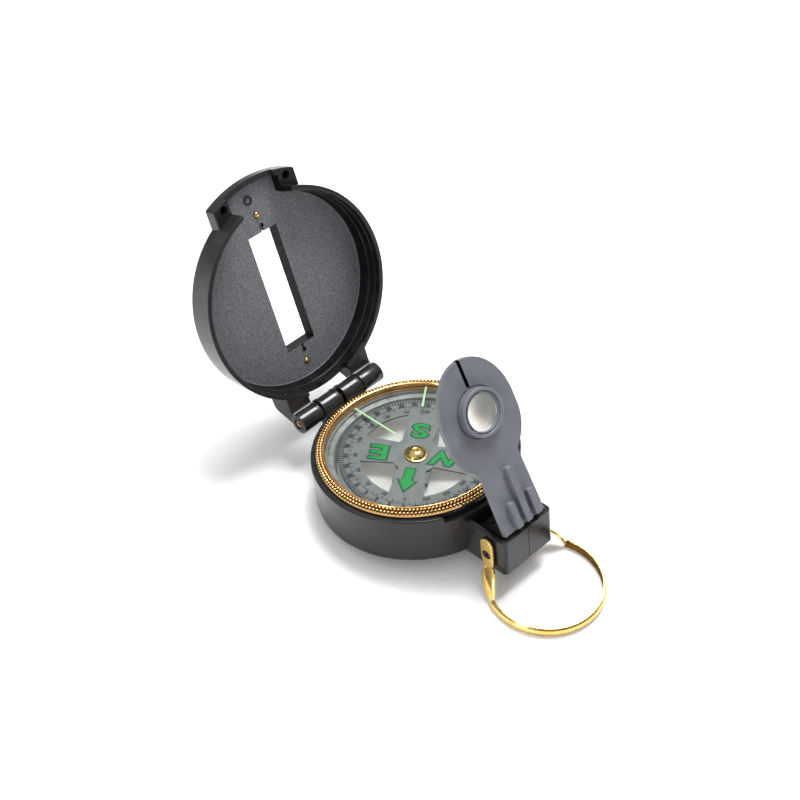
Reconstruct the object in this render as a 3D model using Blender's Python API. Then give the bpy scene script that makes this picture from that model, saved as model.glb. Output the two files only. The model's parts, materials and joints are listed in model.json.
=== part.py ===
"""Sighting compass: case with a turning bezel, floating dial card, hinged cover with a sight
slot, folding lens bracket and swinging brass thumb loop.

Frame: +Z up, +Y from the bracket housing to the cover hinge, origin at the centre of the
case's underside. Dimensions are in millimetres and are scaled to metres as meshes are made.
"""

import math

import bmesh
import bpy
from mathutils import Matrix, Vector

MM = 0.001
GAP = 0.3  # clearance between pieces that touch

# Case: a round cup with a box housing at -Y
CASE_RADIUS = 27.5
CASE_HEIGHT = 13.8
CASE_FLOOR = 2.0
CASE_EDGE = 0.7
CUP_RADIUS = 24.1
SEAT_RADIUS = 25.4
SEAT_HEIGHT = 11.5
UNDERCUT_RADIUS = 26.2
UNDERCUT_HEIGHT = 12.2
UNDERCUT_HALF_WIDTH = 13.5
HOUSING_HALF_WIDTH = 8.7
HOUSING_FRONT = -39.6
HOUSING_HEIGHT = 10.8
HOUSING_FLOOR = 4.6
HOUSING_WALL = 1.4
HOUSING_EDGE = 1.3

# Cover hinge
HINGE_Y = 29.7
HINGE_Z = 14.5
CASE_KNUCKLE_RADIUS = 3.25
COVER_KNUCKLE_RADIUS = 2.9
HINGE_HALF_LENGTH = 14.5
KNUCKLE_SPLIT = 7.2
KNUCKLE_MIDDLE_GAP = 0.9
HINGE_PIN_RADIUS = 1.1

# Cover, measured closed; it stands open by COVER_OPEN
COVER_OPEN = 105.0
COVER_CENTRE_Y = -2.2
COVER_RADIUS = 28.6
COVER_TAPER = 0.7
COVER_MOUTH = 16.2
COVER_TOP = 25.4
COVER_WALL = 1.6
COVER_ROOF = 1.5
COVER_EDGE = 1.0
SLOT_HALF_WIDTH = 4.7
SLOT_HALF_LENGTH = 17.2
SLOT_FRAME_BORDER = 1.8
SLOT_FRAME_RISE = 2.6
RIM_GAP = 2.3  # height of the gap in the rim between the hinge legs
WIRE_PIN_REACH = 22.2
WIRE_PIN_RADIUS = 0.8
WIRE_RADIUS = 0.15
LATCH_RADIUS = 32.7
LATCH_HALF_WIDTH = 13.5
LATCH_BOTTOM = 20.8
LATCH_HOLE_X = 10.4
LATCH_HOLE_RADIUS = 1.15
NECK_GATE_HALF_WIDTH = 7.8
NECK_GATE_TOP = 20.0

# Bezel ring and its crystal
BEZEL_RADIUS = 26.0
BEZEL_BOTTOM = 14.1
BEZEL_TOP = 15.9
BEZEL_LIP = 23.5
BEZEL_TURN = -52.0  # degrees from +Y to the luminous line

# Capsule and dial card
CAPSULE_RADIUS = 23.8
CAPSULE_WALL = 0.9
CAPSULE_TOP = 13.4
CARD_RADIUS = 20.4
CARD_THICKNESS = 0.5
CARD_LEAN = 5.5
CARD_TURN = 125.0
NEEDLE_TIP = 11.7
CARD_BELOW_TIP = 0.9

# Lens bracket, measured folded flat; it stands raised by BRACKET_RAISED
BRACKET_RAISED = 64.5
BRACKET_Y = -30.8
BRACKET_Z = 8.9
BRACKET_FACE = 8.35
BRACKET_PLATE = 1.4
BRACKET_FOOT_Y = -0.8
BRACKET_HEAD_Y = 30.2
BRACKET_HEAD_HALF_WIDTH = 11.6
BRACKET_HEAD_LENGTH = 14.8
BRACKET_WAIST_Y = 27.0
BRACKET_WAIST_LENGTH = 12.0
BRACKET_NECK_HALF_WIDTH = 6.9
BRACKET_SHOULDER_HALF_WIDTH = 6.5
BRACKET_HUB_RADIUS = 2.0
LENS_Y = 31.0
LENS_RADIUS = 5.1
LENS_BOSS_RADIUS = 6.2
LENS_BOSS_HEIGHT = 2.1
RIB_HALF_WIDTH = 0.95
RIB_HEIGHT = 1.0
RIBS = ((-2.5, 7.0), (0.9, 15.2), (4.3, 7.0))  # place across the neck, and length

# Thumb loop
LOOP_Y = -34.2
LOOP_Z = 4.9
LOOP_PEG_RADIUS = 1.1
LOOP_EAR_X = 9.45
LOOP_STRIP_WIDTH = 4.0
LOOP_STRIP_THICKNESS = 0.7
LOOP_RING_RADIUS = 15.1
LOOP_RING_Y = -44.6
LOOP_RING_Z = -6.7
LOOP_RING_LEAN = 6.2
LOOP_RING_HALF_HEIGHT = 1.1
LOOP_KNEE_X = 13.6
LOOP_CREASE_Z = 0.6


def material(name, colour, roughness, metallic=0.0, alpha=1.0):
    made = bpy.data.materials.new(name)
    made.use_nodes = True
    shader = made.node_tree.nodes["Principled BSDF"]
    shader.inputs["Base Color"].default_value = (*colour, 1.0)
    shader.inputs["Roughness"].default_value = roughness
    shader.inputs["Metallic"].default_value = metallic
    shader.inputs["Alpha"].default_value = alpha
    return made


def axis_empty(name, location, rotation=(0.0, 0.0, 0.0)):
    """An empty on a joint's axis that carries the pieces turning about it."""
    empty = bpy.data.objects.new(name, None)
    empty.empty_display_size = 0.01
    empty.location = Vector(location) * MM
    empty.rotation_euler = [math.radians(angle) for angle in rotation]
    bpy.context.collection.objects.link(empty)
    return empty


def node(name, shape, surface=None, parent=None):
    """Turns a bmesh in millimetres into a named object."""
    bmesh.ops.scale(shape, vec=(MM, MM, MM), verts=shape.verts)
    bmesh.ops.recalc_face_normals(shape, faces=shape.faces)
    mesh = bpy.data.meshes.new(name)
    shape.to_mesh(mesh)
    shape.free()
    mesh.shade_smooth()
    mesh.set_sharp_from_angle(angle=math.radians(35))
    made = bpy.data.objects.new(name, mesh)
    bpy.context.collection.objects.link(made)
    made.parent = parent
    if surface:
        mesh.materials.append(surface)
    else:
        made.hide_render = True
        made.display_type = "WIRE"
    return made


def combine(target, cutter, operation):
    """Adds an exact Boolean of a hidden shape to target."""
    step = target.modifiers.new(cutter.name, "BOOLEAN")
    step.operation = operation
    step.solver = "EXACT"
    step.object = cutter


def prism(outline, bottom, top):
    """An outline of (x, y) points extruded along Z."""
    shape = bmesh.new()
    face = shape.faces.new([shape.verts.new((x, y, bottom)) for x, y in outline])
    grown = bmesh.ops.extrude_face_region(shape, geom=[face])
    raised = [item for item in grown["geom"] if isinstance(item, bmesh.types.BMVert)]
    bmesh.ops.translate(shape, vec=(0, 0, top - bottom), verts=raised)
    return shape


def box(x_range, y_range, z_range):
    (x0, x1), (y0, y1) = x_range, y_range
    return prism([(x0, y0), (x1, y0), (x1, y1), (x0, y1)], *z_range)


def along_x(outline, x0, x1):
    """An outline of (y, z) points extruded along X."""
    shape = prism(outline, x0, x1)
    for corner in shape.verts:
        y, z, x = corner.co
        corner.co = (x, y, z)
    return shape


def turned(profile, segments=96, centre=(0.0, 0.0)):
    """A closed (radius, z) profile spun about the vertical through centre."""
    shape = bmesh.new()
    ring = [shape.verts.new((radius, 0.0, z)) for radius, z in profile]
    edges = [shape.edges.new((a, b)) for a, b in zip(ring, ring[1:] + ring[:1])]
    bmesh.ops.spin(
        shape, geom=ring + edges, cent=(0, 0, 0), axis=(0, 0, 1),
        angle=math.tau, steps=segments, use_merge=True, use_duplicate=False,
    )
    bmesh.ops.remove_doubles(shape, verts=shape.verts, dist=1e-5)
    bmesh.ops.dissolve_degenerate(shape, edges=shape.edges, dist=1e-5)
    bmesh.ops.translate(shape, vec=(*centre, 0.0), verts=shape.verts)
    return shape


def disc(radius, bottom, top, segments=48, centre=(0.0, 0.0)):
    return prism(arc(centre, radius, 0.0, 360.0 - 360.0 / segments, segments - 1), bottom, top)


def arc(centre, radius, start, end, steps):
    """Points on a circle, or on an ellipse when radius is a pair, from start to end degrees."""
    across, along = radius if isinstance(radius, tuple) else (radius, radius)
    angles = [math.radians(start + (end - start) * i / steps) for i in range(steps + 1)]
    return [(centre[0] + across * math.cos(a), centre[1] + along * math.sin(a)) for a in angles]


def rounded_rectangle(x_range, y_range, radius, steps=4):
    (x0, x1), (y0, y1) = x_range, y_range
    corners = [(x1, y1, 0), (x0, y1, 90), (x0, y0, 180), (x1, y0, 270)]
    points = []
    for x, y, start in corners:
        inward = (math.copysign(radius, x - (x0 + x1) / 2), math.copysign(radius, y - (y0 + y1) / 2))
        points += arc((x - inward[0], y - inward[1]), radius, start, start + 90, steps)
    return points


def moved(shape, offset):
    bmesh.ops.translate(shape, vec=offset, verts=shape.verts)
    return shape


def barrel(radius, x0, x1, y, z, segments=32):
    """A round bar along X."""
    return along_x(arc((y, z), radius, 0.0, 360.0 - 360.0 / segments, segments - 1), x0, x1)


def build_case(plastic):
    cup = node("case", turned([
        (0.0, 0.0), (CASE_RADIUS - CASE_EDGE, 0.0), (CASE_RADIUS, CASE_EDGE),
        (CASE_RADIUS, CASE_HEIGHT - 0.4), (CASE_RADIUS - 0.4, CASE_HEIGHT),
        (SEAT_RADIUS, CASE_HEIGHT), (SEAT_RADIUS, SEAT_HEIGHT), (CUP_RADIUS, SEAT_HEIGHT),
        (CUP_RADIUS, CASE_FLOOR), (0.0, CASE_FLOOR),
    ]), plastic)

    undercut = node("undercut_cutter", turned([
        (UNDERCUT_RADIUS, UNDERCUT_HEIGHT), (UNDERCUT_RADIUS + 3, UNDERCUT_HEIGHT),
        (UNDERCUT_RADIUS + 3, CASE_HEIGHT + 1), (UNDERCUT_RADIUS, CASE_HEIGHT + 1),
    ]))
    sector = node("undercut_sector", box(
        (-UNDERCUT_HALF_WIDTH, UNDERCUT_HALF_WIDTH), (-CASE_RADIUS - 4, 0), (0, CASE_HEIGHT + 3)))
    combine(undercut, sector, "INTERSECT")
    combine(cup, undercut, "DIFFERENCE")

    # The housing is joined where it is buried in the cup's wall
    wall_inside = -(CUP_RADIUS + 0.6)
    shell = prism(rounded_rectangle(
        (-HOUSING_HALF_WIDTH, HOUSING_HALF_WIDTH), (HOUSING_FRONT, wall_inside + 6),
        HOUSING_EDGE), 0.0, HOUSING_HEIGHT)
    housing = node("housing_shell", shell)
    ring_void = node("housing_ring_void", turned([
        (0.0, -1.0), (SEAT_RADIUS + 0.8, -1.0), (SEAT_RADIUS + 0.8, CASE_HEIGHT + 2),
        (0.0, CASE_HEIGHT + 2)]))
    cavity = node("housing_cavity", box(
        (-HOUSING_HALF_WIDTH + HOUSING_WALL, HOUSING_HALF_WIDTH - HOUSING_WALL),
        (HOUSING_FRONT + HOUSING_WALL, wall_inside + 7), (HOUSING_FLOOR, HOUSING_HEIGHT + 2)))
    combine(housing, ring_void, "DIFFERENCE")
    combine(housing, cavity, "DIFFERENCE")
    trunnion_reach = HOUSING_HALF_WIDTH - 0.4
    sockets = node("trunnion_sockets", barrel(
        1.3, -trunnion_reach, trunnion_reach, BRACKET_Y, BRACKET_Z, 20))
    combine(housing, sockets, "DIFFERENCE")
    combine(cup, housing, "UNION")

    for side in (-1, 1):
        peg = node(f"loop_peg_{side}", barrel(
            LOOP_PEG_RADIUS, *sorted((side * (HOUSING_HALF_WIDTH - 0.6), side * (LOOP_EAR_X + 1.0))),
            LOOP_Y, LOOP_Z, 16))
        combine(cup, peg, "UNION")
        inner = side * KNUCKLE_MIDDLE_GAP / 2
        outer = side * (KNUCKLE_SPLIT - GAP / 2)
        outline = arc((HINGE_Y, HINGE_Z), CASE_KNUCKLE_RADIUS, -60, 178, 20)
        outline += [(CASE_RADIUS - 1.1, HINGE_Z - 0.9), (CASE_RADIUS - 1.4, HINGE_Z - 5.6)]
        knuckle = node(f"case_knuckle_{side}", along_x(outline, *sorted((inner, outer))))
        combine(cup, knuckle, "UNION")
    bore = node("case_hinge_bore", barrel(
        HINGE_PIN_RADIUS + 0.2, -KNUCKLE_SPLIT - 1, KNUCKLE_SPLIT + 1, HINGE_Y, HINGE_Z, 20))
    combine(cup, bore, "DIFFERENCE")
    return cup


def build_capsule(bowl_plastic, glass, luminous, steel):
    inner = CAPSULE_RADIUS - CAPSULE_WALL
    floor = CASE_FLOOR + GAP
    node("capsule_bowl", turned([
        (0.0, floor), (CAPSULE_RADIUS, floor), (CAPSULE_RADIUS, CAPSULE_TOP),
        (inner, CAPSULE_TOP), (inner, floor + 3.0), (inner - 2.0, floor + 1.0), (0.0, floor + 1.0),
    ], 72), bowl_plastic)
    crystal_bottom = CAPSULE_TOP + 0.2
    node("inner_crystal", disc(CAPSULE_RADIUS, crystal_bottom, crystal_bottom + 0.5, 72), glass)
    line_bottom = crystal_bottom + 0.6
    node("fixed_index", box((-0.45, 0.45), (7.2, 23.3), (line_bottom, line_bottom + 0.1)), luminous)
    foot = floor + 1.2
    node("pivot_needle", turned([
        (0.0, foot), (2.2, foot), (2.2, foot + 1.0), (0.7, foot + 1.6), (0.55, NEEDLE_TIP - 1.3),
        (0.0, NEEDLE_TIP - 0.1),
    ], 24), steel)


def build_bezel(gold, glass, luminous, spring_steel):
    node("bezel_washer", turned([
        (CUP_RADIUS + 0.3, SEAT_HEIGHT + 0.2), (SEAT_RADIUS - 0.3, SEAT_HEIGHT + 0.2),
        (SEAT_RADIUS - 0.3, SEAT_HEIGHT + 0.5), (CUP_RADIUS + 0.3, SEAT_HEIGHT + 0.5),
    ], 72), spring_steel)
    axis = axis_empty("bezel_axis", (0, 0, BEZEL_BOTTOM), (0, 0, BEZEL_TURN))
    skirt_bottom = SEAT_HEIGHT + 0.8 - BEZEL_BOTTOM
    height = BEZEL_TOP - BEZEL_BOTTOM
    crystal_bottom = height - 1.2
    crystal_radius = CUP_RADIUS + 0.1
    node("bezel_ring", turned([
        (BEZEL_RADIUS - 0.2, 0.0), (BEZEL_RADIUS, 0.3), (BEZEL_RADIUS, height - 0.5),
        (BEZEL_RADIUS - 0.5, height), (BEZEL_LIP + 0.7, height), (BEZEL_LIP, height - 0.35),
        (crystal_radius + 0.15, height - 0.35), (crystal_radius + 0.15, skirt_bottom),
        (SEAT_RADIUS - 0.3, skirt_bottom), (SEAT_RADIUS - 0.3, 0.0),
    ]), gold, axis)
    node("bezel_crystal", disc(crystal_radius, crystal_bottom, crystal_bottom + 0.7, 72), glass, axis)
    node("bezel_index", box(
        (-0.5, 0.5), (15.2, 23.2), (crystal_bottom - 0.2, crystal_bottom - 0.05)), luminous, axis)


def build_card(card_plastic, brass, magnet_steel):
    lean = axis_empty("card_tilt_axis", (0, 0, NEEDLE_TIP), (CARD_LEAN, 0, 0))
    turn = axis_empty("card_turn_axis", (0, 0, 0), (0, 0, CARD_TURN))
    turn.parent = lean
    top = -CARD_BELOW_TIP + CARD_THICKNESS
    node("dial_cap", turned([
        (0.0, 0.25), (0.9, -0.9), (1.2, top - 0.9), (2.1, top - 0.9), (2.1, top + 0.2), (3.0, top + 0.2),
        (2.9, top + 0.6), (2.2, top + 1.1), (1.1, top + 1.5), (0.0, top + 1.55),
    ], 32), brass, lean)
    card = node("dial_card", turned([
        (2.4, -CARD_BELOW_TIP), (CARD_RADIUS, -CARD_BELOW_TIP), (CARD_RADIUS, top), (2.4, top),
    ], 72), card_plastic, turn)
    for quarter in range(4):
        middle = 45 + 90 * quarter
        outline = arc((0, 0), 14.6, middle - 27, middle + 27, 8)
        outline += arc((0, 0), 6.4, middle + 12, middle - 12, 3)
        window = node(f"card_window_{quarter}", prism(outline, -3, 3), None, turn)
        combine(card, window, "DIFFERENCE")
    for side, name in ((-1, "magnet_left"), (1, "magnet_right")):
        x_range = sorted((side * 2.9, side * 4.6))
        node(name, box(x_range, (-9.0, 9.0), (-CARD_BELOW_TIP - 1.7, -CARD_BELOW_TIP - 0.2)),
             magnet_steel, turn)


def cover_place(y, z):
    """A point of the closed cover, measured from the hinge axis."""
    return y - HINGE_Y, z - HINGE_Z


def build_cover(plastic, brass, steel):
    hinge = axis_empty("cover_hinge_axis", (0, HINGE_Y, HINGE_Z), (-COVER_OPEN, 0, 0))
    centre_y, mouth = cover_place(COVER_CENTRE_Y, COVER_MOUTH)
    top = COVER_TOP - HINGE_Z
    inside = COVER_RADIUS - COVER_WALL
    back = COVER_RADIUS - COVER_TAPER
    roof = top - COVER_ROOF
    cover = node("cover", turned([
        (0.0, top), (back - COVER_EDGE, top), (back, top - COVER_EDGE),
        (COVER_RADIUS, mouth), (inside, mouth), (inside - COVER_TAPER, roof), (0.0, roof),
    ], 96, (0.0, centre_y)), plastic, hinge)

    # Latch lug outside the rim at -Y, with the bracket neck's gate below it
    lug_start = back - 0.8
    half = math.degrees(math.asin(LATCH_HALF_WIDTH / LATCH_RADIUS))
    lug_outline = arc((0, centre_y), LATCH_RADIUS, 270 - half, 270 + half, 16)
    inner_half = math.degrees(math.asin(LATCH_HALF_WIDTH / lug_start))
    lug_outline += arc((0, centre_y), lug_start, 270 + inner_half, 270 - inner_half, 16)
    lug = node("latch_lug", prism(lug_outline, LATCH_BOTTOM - HINGE_Z, top - 0.4), None, hinge)
    combine(cover, lug, "UNION")
    hole_y = cover_place(-31.2, 0)[0]
    for side in (-1, 1):
        hole = node(f"latch_hole_{side}", disc(
            LATCH_HOLE_RADIUS, LATCH_BOTTOM - HINGE_Z - 1, top - 1.6, 20, (side * LATCH_HOLE_X, hole_y)),
            None, hinge)
        combine(cover, hole, "DIFFERENCE")
    gate = node("neck_gate", box(
        (-NECK_GATE_HALF_WIDTH, NECK_GATE_HALF_WIDTH), (centre_y - COVER_RADIUS - 1, centre_y - 20),
        (mouth - 1, NECK_GATE_TOP - HINGE_Z)), None, hinge)
    combine(cover, gate, "DIFFERENCE")

    # Hinge legs and their knuckles
    for side in (-1, 1):
        x_range = sorted((side * (KNUCKLE_SPLIT + GAP / 2), side * HINGE_HALF_LENGTH))
        rim_y = centre_y + math.sqrt(back**2 - x_range[1 if side < 0 else 0]**2)
        leg_outline = arc((0, 0), COVER_KNUCKLE_RADIUS, -150, 100, 20)
        leg_outline += [(-2.6, top - 1.6), (rim_y - 5.0, top - 1.2), (rim_y - 5.0, mouth), (-2.9, mouth)]
        leg = node(f"cover_leg_{side}", along_x(leg_outline, *x_range), None, hinge)
        combine(cover, leg, "UNION")
    hollow = node("cover_hollow", turned([
        (0.0, mouth - 6), (inside, mouth - 6), (inside, mouth), (inside - COVER_TAPER, roof), (0.0, roof),
    ], 96, (0.0, centre_y)), None, hinge)
    combine(cover, hollow, "DIFFERENCE")
    rim_gap = node("rim_gap", box(
        (-KNUCKLE_SPLIT, KNUCKLE_SPLIT), (-7.0, 1.0), (mouth - 1.0, mouth + RIM_GAP)), None, hinge)
    combine(cover, rim_gap, "DIFFERENCE")
    bore = node("cover_hinge_bore", barrel(
        HINGE_PIN_RADIUS + 0.2, -HINGE_HALF_LENGTH - 1, HINGE_HALF_LENGTH + 1, 0, 0, 20), None, hinge)
    combine(cover, bore, "DIFFERENCE")
    frame_width = SLOT_HALF_WIDTH + SLOT_FRAME_BORDER
    frame_length = SLOT_HALF_LENGTH + SLOT_FRAME_BORDER
    slot_frame = node("slot_frame", box(
        (-frame_width, frame_width), (centre_y - frame_length, centre_y + frame_length),
        (roof + 0.3, top + SLOT_FRAME_RISE)), None, hinge)
    combine(cover, slot_frame, "UNION")
    slot = node("sight_slot", box(
        (-SLOT_HALF_WIDTH, SLOT_HALF_WIDTH),
        (centre_y - SLOT_HALF_LENGTH, centre_y + SLOT_HALF_LENGTH),
        (roof - 2, top + SLOT_FRAME_RISE + 2)), None, hinge)
    combine(cover, slot, "DIFFERENCE")
    for side, name in ((-1, "wire_pin_upper"), (1, "wire_pin_lower")):
        pin_y = centre_y + side * WIRE_PIN_REACH
        seat = node(f"{name}_seat", disc(
            WIRE_PIN_RADIUS + 0.15, roof - 1, roof + 0.8, 16, (0.0, pin_y)), None, hinge)
        combine(cover, seat, "DIFFERENCE")
        node(name, disc(WIRE_PIN_RADIUS, roof - 0.5, roof + 0.6, 16, (0.0, pin_y)), brass, hinge)
    reach = WIRE_PIN_REACH - WIRE_PIN_RADIUS - 0.2
    wire = prism(arc((0, roof - 0.25), WIRE_RADIUS, 0, 300, 5), centre_y - reach, centre_y + reach)
    for corner in wire.verts:
        x, z, y = corner.co
        corner.co = (x, y, z)
    node("sight_wire", wire, steel, hinge)
    node("hinge_pin", barrel(
        HINGE_PIN_RADIUS, -HINGE_HALF_LENGTH + 0.2, HINGE_HALF_LENGTH - 0.2, HINGE_Y, HINGE_Z, 24), brass)


def build_bracket(plastic, glass, ring_plastic):
    pivot = axis_empty("bracket_axis", (0, BRACKET_Y, BRACKET_Z), (BRACKET_RAISED, 0, 0))
    back = BRACKET_FACE - BRACKET_PLATE
    foot_y = BRACKET_FOOT_Y
    head = (BRACKET_HEAD_HALF_WIDTH, BRACKET_HEAD_LENGTH)
    waist = (BRACKET_HEAD_HALF_WIDTH, BRACKET_WAIST_LENGTH)
    shoulder = math.degrees(math.acos(BRACKET_SHOULDER_HALF_WIDTH / BRACKET_HEAD_HALF_WIDTH))
    outline = [(-BRACKET_NECK_HALF_WIDTH, foot_y), (BRACKET_NECK_HALF_WIDTH, foot_y)]
    outline += arc((0, BRACKET_WAIST_Y), waist, -shoulder, 0, 8)
    outline += arc((0, BRACKET_HEAD_Y), head, 0, 180, 32)
    outline += arc((0, BRACKET_WAIST_Y), waist, 180, 180 + shoulder, 8)
    bracket = node("lens_bracket", prism(outline, back, BRACKET_FACE), plastic, pivot)

    # Side cheeks run from the plate back to the hub and its trunnions
    hub = arc((0, 0), BRACKET_HUB_RADIUS, 180, 360, 10)
    cheek_outline = hub + [(3.2, 4.6), (5.2, back + 0.2), (foot_y, back + 0.2)]
    for side in (-1, 1):
        x_range = sorted((side * (BRACKET_NECK_HALF_WIDTH - 1.5), side * BRACKET_NECK_HALF_WIDTH))
        cheek = node(f"bracket_cheek_{side}", along_x(cheek_outline, *x_range), None, pivot)
        combine(bracket, cheek, "UNION")
    trunnion_reach = HOUSING_HALF_WIDTH - HOUSING_WALL + 0.6
    for name, radius, reach in (
            ("bracket_hub", BRACKET_HUB_RADIUS - 0.3, BRACKET_NECK_HALF_WIDTH - 0.2),
            ("bracket_trunnions", 1.0, trunnion_reach)):
        part = node(name, barrel(radius, -reach, reach, 0, 0, 24), None, pivot)
        combine(bracket, part, "UNION")
    boss = node("lens_boss", disc(
        LENS_BOSS_RADIUS, back + 0.3, BRACKET_FACE + LENS_BOSS_HEIGHT, 40, (0, LENS_Y)), None, pivot)
    combine(bracket, boss, "UNION")
    bore = node("lens_bore", disc(
        LENS_RADIUS, back - 1, BRACKET_FACE + LENS_BOSS_HEIGHT + 1, 40, (0, LENS_Y)), None, pivot)
    combine(bracket, bore, "DIFFERENCE")
    for x, length in RIBS:
        rib = node(f"bracket_rib_{x:+.0f}", box(
            (x - RIB_HALF_WIDTH, x + RIB_HALF_WIDTH), (foot_y + 0.6, foot_y + 0.6 + length),
            (BRACKET_FACE - 0.5, BRACKET_FACE + RIB_HEIGHT)), None, pivot)
        combine(bracket, rib, "UNION")
    tip = BRACKET_HEAD_Y + BRACKET_HEAD_LENGTH
    notch = node("sighting_notch", box(
        (-0.5, 0.5), (tip - 7.4, tip + 1), (back - 1, BRACKET_FACE + 1)), None, pivot)
    combine(bracket, notch, "DIFFERENCE")

    lens_centre = (0, LENS_Y)
    node("lens", moved(turned([
        (0.0, back + 0.5), (LENS_RADIUS - 0.3, back + 0.9), (LENS_RADIUS - 0.3, back + 1.9),
        (LENS_RADIUS * 0.7, back + 2.4), (LENS_RADIUS * 0.35, back + 2.65), (0.0, back + 2.75),
    ], 40), (*lens_centre, 0)), glass, pivot)
    node("lens_ring", moved(turned([
        (LENS_RADIUS - 0.9, back + 2.9), (LENS_RADIUS - 0.2, back + 2.9),
        (LENS_RADIUS - 0.2, back + 3.4), (LENS_RADIUS - 0.9, back + 3.4),
    ], 40), (*lens_centre, 0)), ring_plastic, pivot)


def loop_stations():
    """Centre, width direction and half width along the strip, from one ear's top to the other."""
    lean = math.tan(math.radians(LOOP_RING_LEAN))
    ear_bottom = (LOOP_EAR_X, LOOP_Y - 0.3, LOOP_CREASE_Z)
    knee_y = LOOP_RING_Y + math.sqrt(LOOP_RING_RADIUS**2 - LOOP_KNEE_X**2)
    knee_z = LOOP_RING_Z + (knee_y - LOOP_RING_Y) * lean
    upright, slanted, lying = (0.0, 1.0, 0.0), (0.0, 0.8, -0.6), (0.0, lean, -1.0)
    right = [
        ((LOOP_EAR_X, LOOP_Y, LOOP_Z + 5.0), upright, LOOP_STRIP_WIDTH / 2),
        ((LOOP_EAR_X, LOOP_Y, LOOP_Z), upright, LOOP_STRIP_WIDTH / 2),
        (ear_bottom, upright, LOOP_STRIP_WIDTH / 2 - 0.1),
        ((LOOP_EAR_X + 0.5, LOOP_Y - 0.9, LOOP_CREASE_Z - 1.4), slanted, 1.6),
        ((LOOP_KNEE_X - 0.7, knee_y + 1.4, knee_z + 1.4), slanted, 1.2),
    ]
    start = math.degrees(math.acos(LOOP_KNEE_X / LOOP_RING_RADIUS))
    ring = []
    for x, y in arc((0, LOOP_RING_Y), LOOP_RING_RADIUS, start - 3, -180 - start + 3, 40):
        ring.append(((x, y, LOOP_RING_Z + (y - LOOP_RING_Y) * lean), lying, LOOP_RING_HALF_HEIGHT))
    left = [((-place[0], place[1], place[2]), width, half) for place, width, half in reversed(right)]
    return right + ring + left


def build_thumb_loop(brass):
    stations = loop_stations()
    shape = bmesh.new()
    rows = []
    for index, (centre, width, half) in enumerate(stations):
        before = Vector(stations[max(index - 1, 0)][0])
        after = Vector(stations[min(index + 1, len(stations) - 1)][0])
        centre, width = Vector(centre), Vector(width)
        forward = (after - before).normalized()
        width = (width - forward * width.dot(forward)).normalized() * half
        normal = forward.cross(width).normalized() * (LOOP_STRIP_THICKNESS / 2)
        rows.append([shape.verts.new(centre + corner) for corner in (
            width + normal, width - normal, -width - normal, -width + normal)])
    for a, b in zip(rows, rows[1:]):
        for side in range(4):
            shape.faces.new((a[side], a[(side + 1) % 4], b[(side + 1) % 4], b[side]))
    shape.faces.new(rows[0])
    shape.faces.new(rows[-1])
    bmesh.ops.triangulate(shape, faces=shape.faces)
    axis = axis_empty("loop_axis", (0, LOOP_Y, LOOP_Z))
    moved(shape, (0, -LOOP_Y, -LOOP_Z))
    loop = node("thumb_loop", shape, brass, axis)
    for side in (-1, 1):
        hole = node(f"loop_hole_{side}", barrel(
            LOOP_PEG_RADIUS + 0.25, *sorted((side * (LOOP_EAR_X - 2), side * (LOOP_EAR_X + 2))), 0, 0, 16),
            None, axis)
        combine(loop, hole, "DIFFERENCE")


def build():
    for old in list(bpy.data.objects):
        bpy.data.objects.remove(old, do_unlink=True)
    case_plastic = material("case_plastic", (0.055, 0.055, 0.058), 0.22)
    grey_plastic = material("grey_plastic", (0.16, 0.17, 0.19), 0.45)
    pale_plastic = material("pale_plastic", (0.62, 0.60, 0.56), 0.3)
    card_grey = material("card_grey", (0.30, 0.31, 0.31), 0.6)
    gold = material("gold_anodised", (0.78, 0.47, 0.16), 0.28, 1.0)
    brass = material("polished_brass", (0.83, 0.62, 0.25), 0.18, 1.0)
    steel = material("steel", (0.55, 0.55, 0.56), 0.3, 1.0)
    glass = material("clear_glass", (0.95, 0.97, 0.97), 0.03, 0.0, 0.3)
    luminous = material("luminous_green", (0.72, 0.86, 0.66), 0.5)
    build_case(case_plastic)
    build_capsule(pale_plastic, glass, luminous, steel)
    build_bezel(gold, glass, luminous, steel)
    build_card(card_grey, brass, steel)
    build_cover(case_plastic, brass, steel)
    build_bracket(grey_plastic, glass, grey_plastic)
    build_thumb_loop(brass)
    bpy.context.view_layer.update()


build()
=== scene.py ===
"""Looks of the sighting compass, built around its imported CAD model.

Lengths are in millimetres and are scaled to metres when a mesh is made. Pieces that turn with the
cover, the bracket or the dial are modelled in that part's own upright position and then placed.
"""

import json
import math

import bmesh
import bpy
from mathutils import Matrix, Vector


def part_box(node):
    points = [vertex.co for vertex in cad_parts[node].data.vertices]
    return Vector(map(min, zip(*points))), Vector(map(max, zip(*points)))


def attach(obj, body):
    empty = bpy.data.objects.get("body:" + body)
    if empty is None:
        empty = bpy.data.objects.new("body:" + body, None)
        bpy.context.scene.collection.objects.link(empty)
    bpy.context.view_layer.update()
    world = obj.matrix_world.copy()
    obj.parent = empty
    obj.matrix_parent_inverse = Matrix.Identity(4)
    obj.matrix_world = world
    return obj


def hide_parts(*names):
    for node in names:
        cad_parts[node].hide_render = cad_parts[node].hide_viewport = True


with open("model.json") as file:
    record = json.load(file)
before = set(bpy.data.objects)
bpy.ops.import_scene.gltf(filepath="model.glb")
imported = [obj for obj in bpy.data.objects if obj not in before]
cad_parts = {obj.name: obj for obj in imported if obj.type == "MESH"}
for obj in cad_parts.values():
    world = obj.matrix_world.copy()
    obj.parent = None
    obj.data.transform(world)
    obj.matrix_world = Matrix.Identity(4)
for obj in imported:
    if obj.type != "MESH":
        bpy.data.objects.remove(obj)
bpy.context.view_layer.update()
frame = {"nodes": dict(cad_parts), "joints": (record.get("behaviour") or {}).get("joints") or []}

MM = 0.001


# ---- places taken from the frame

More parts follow.
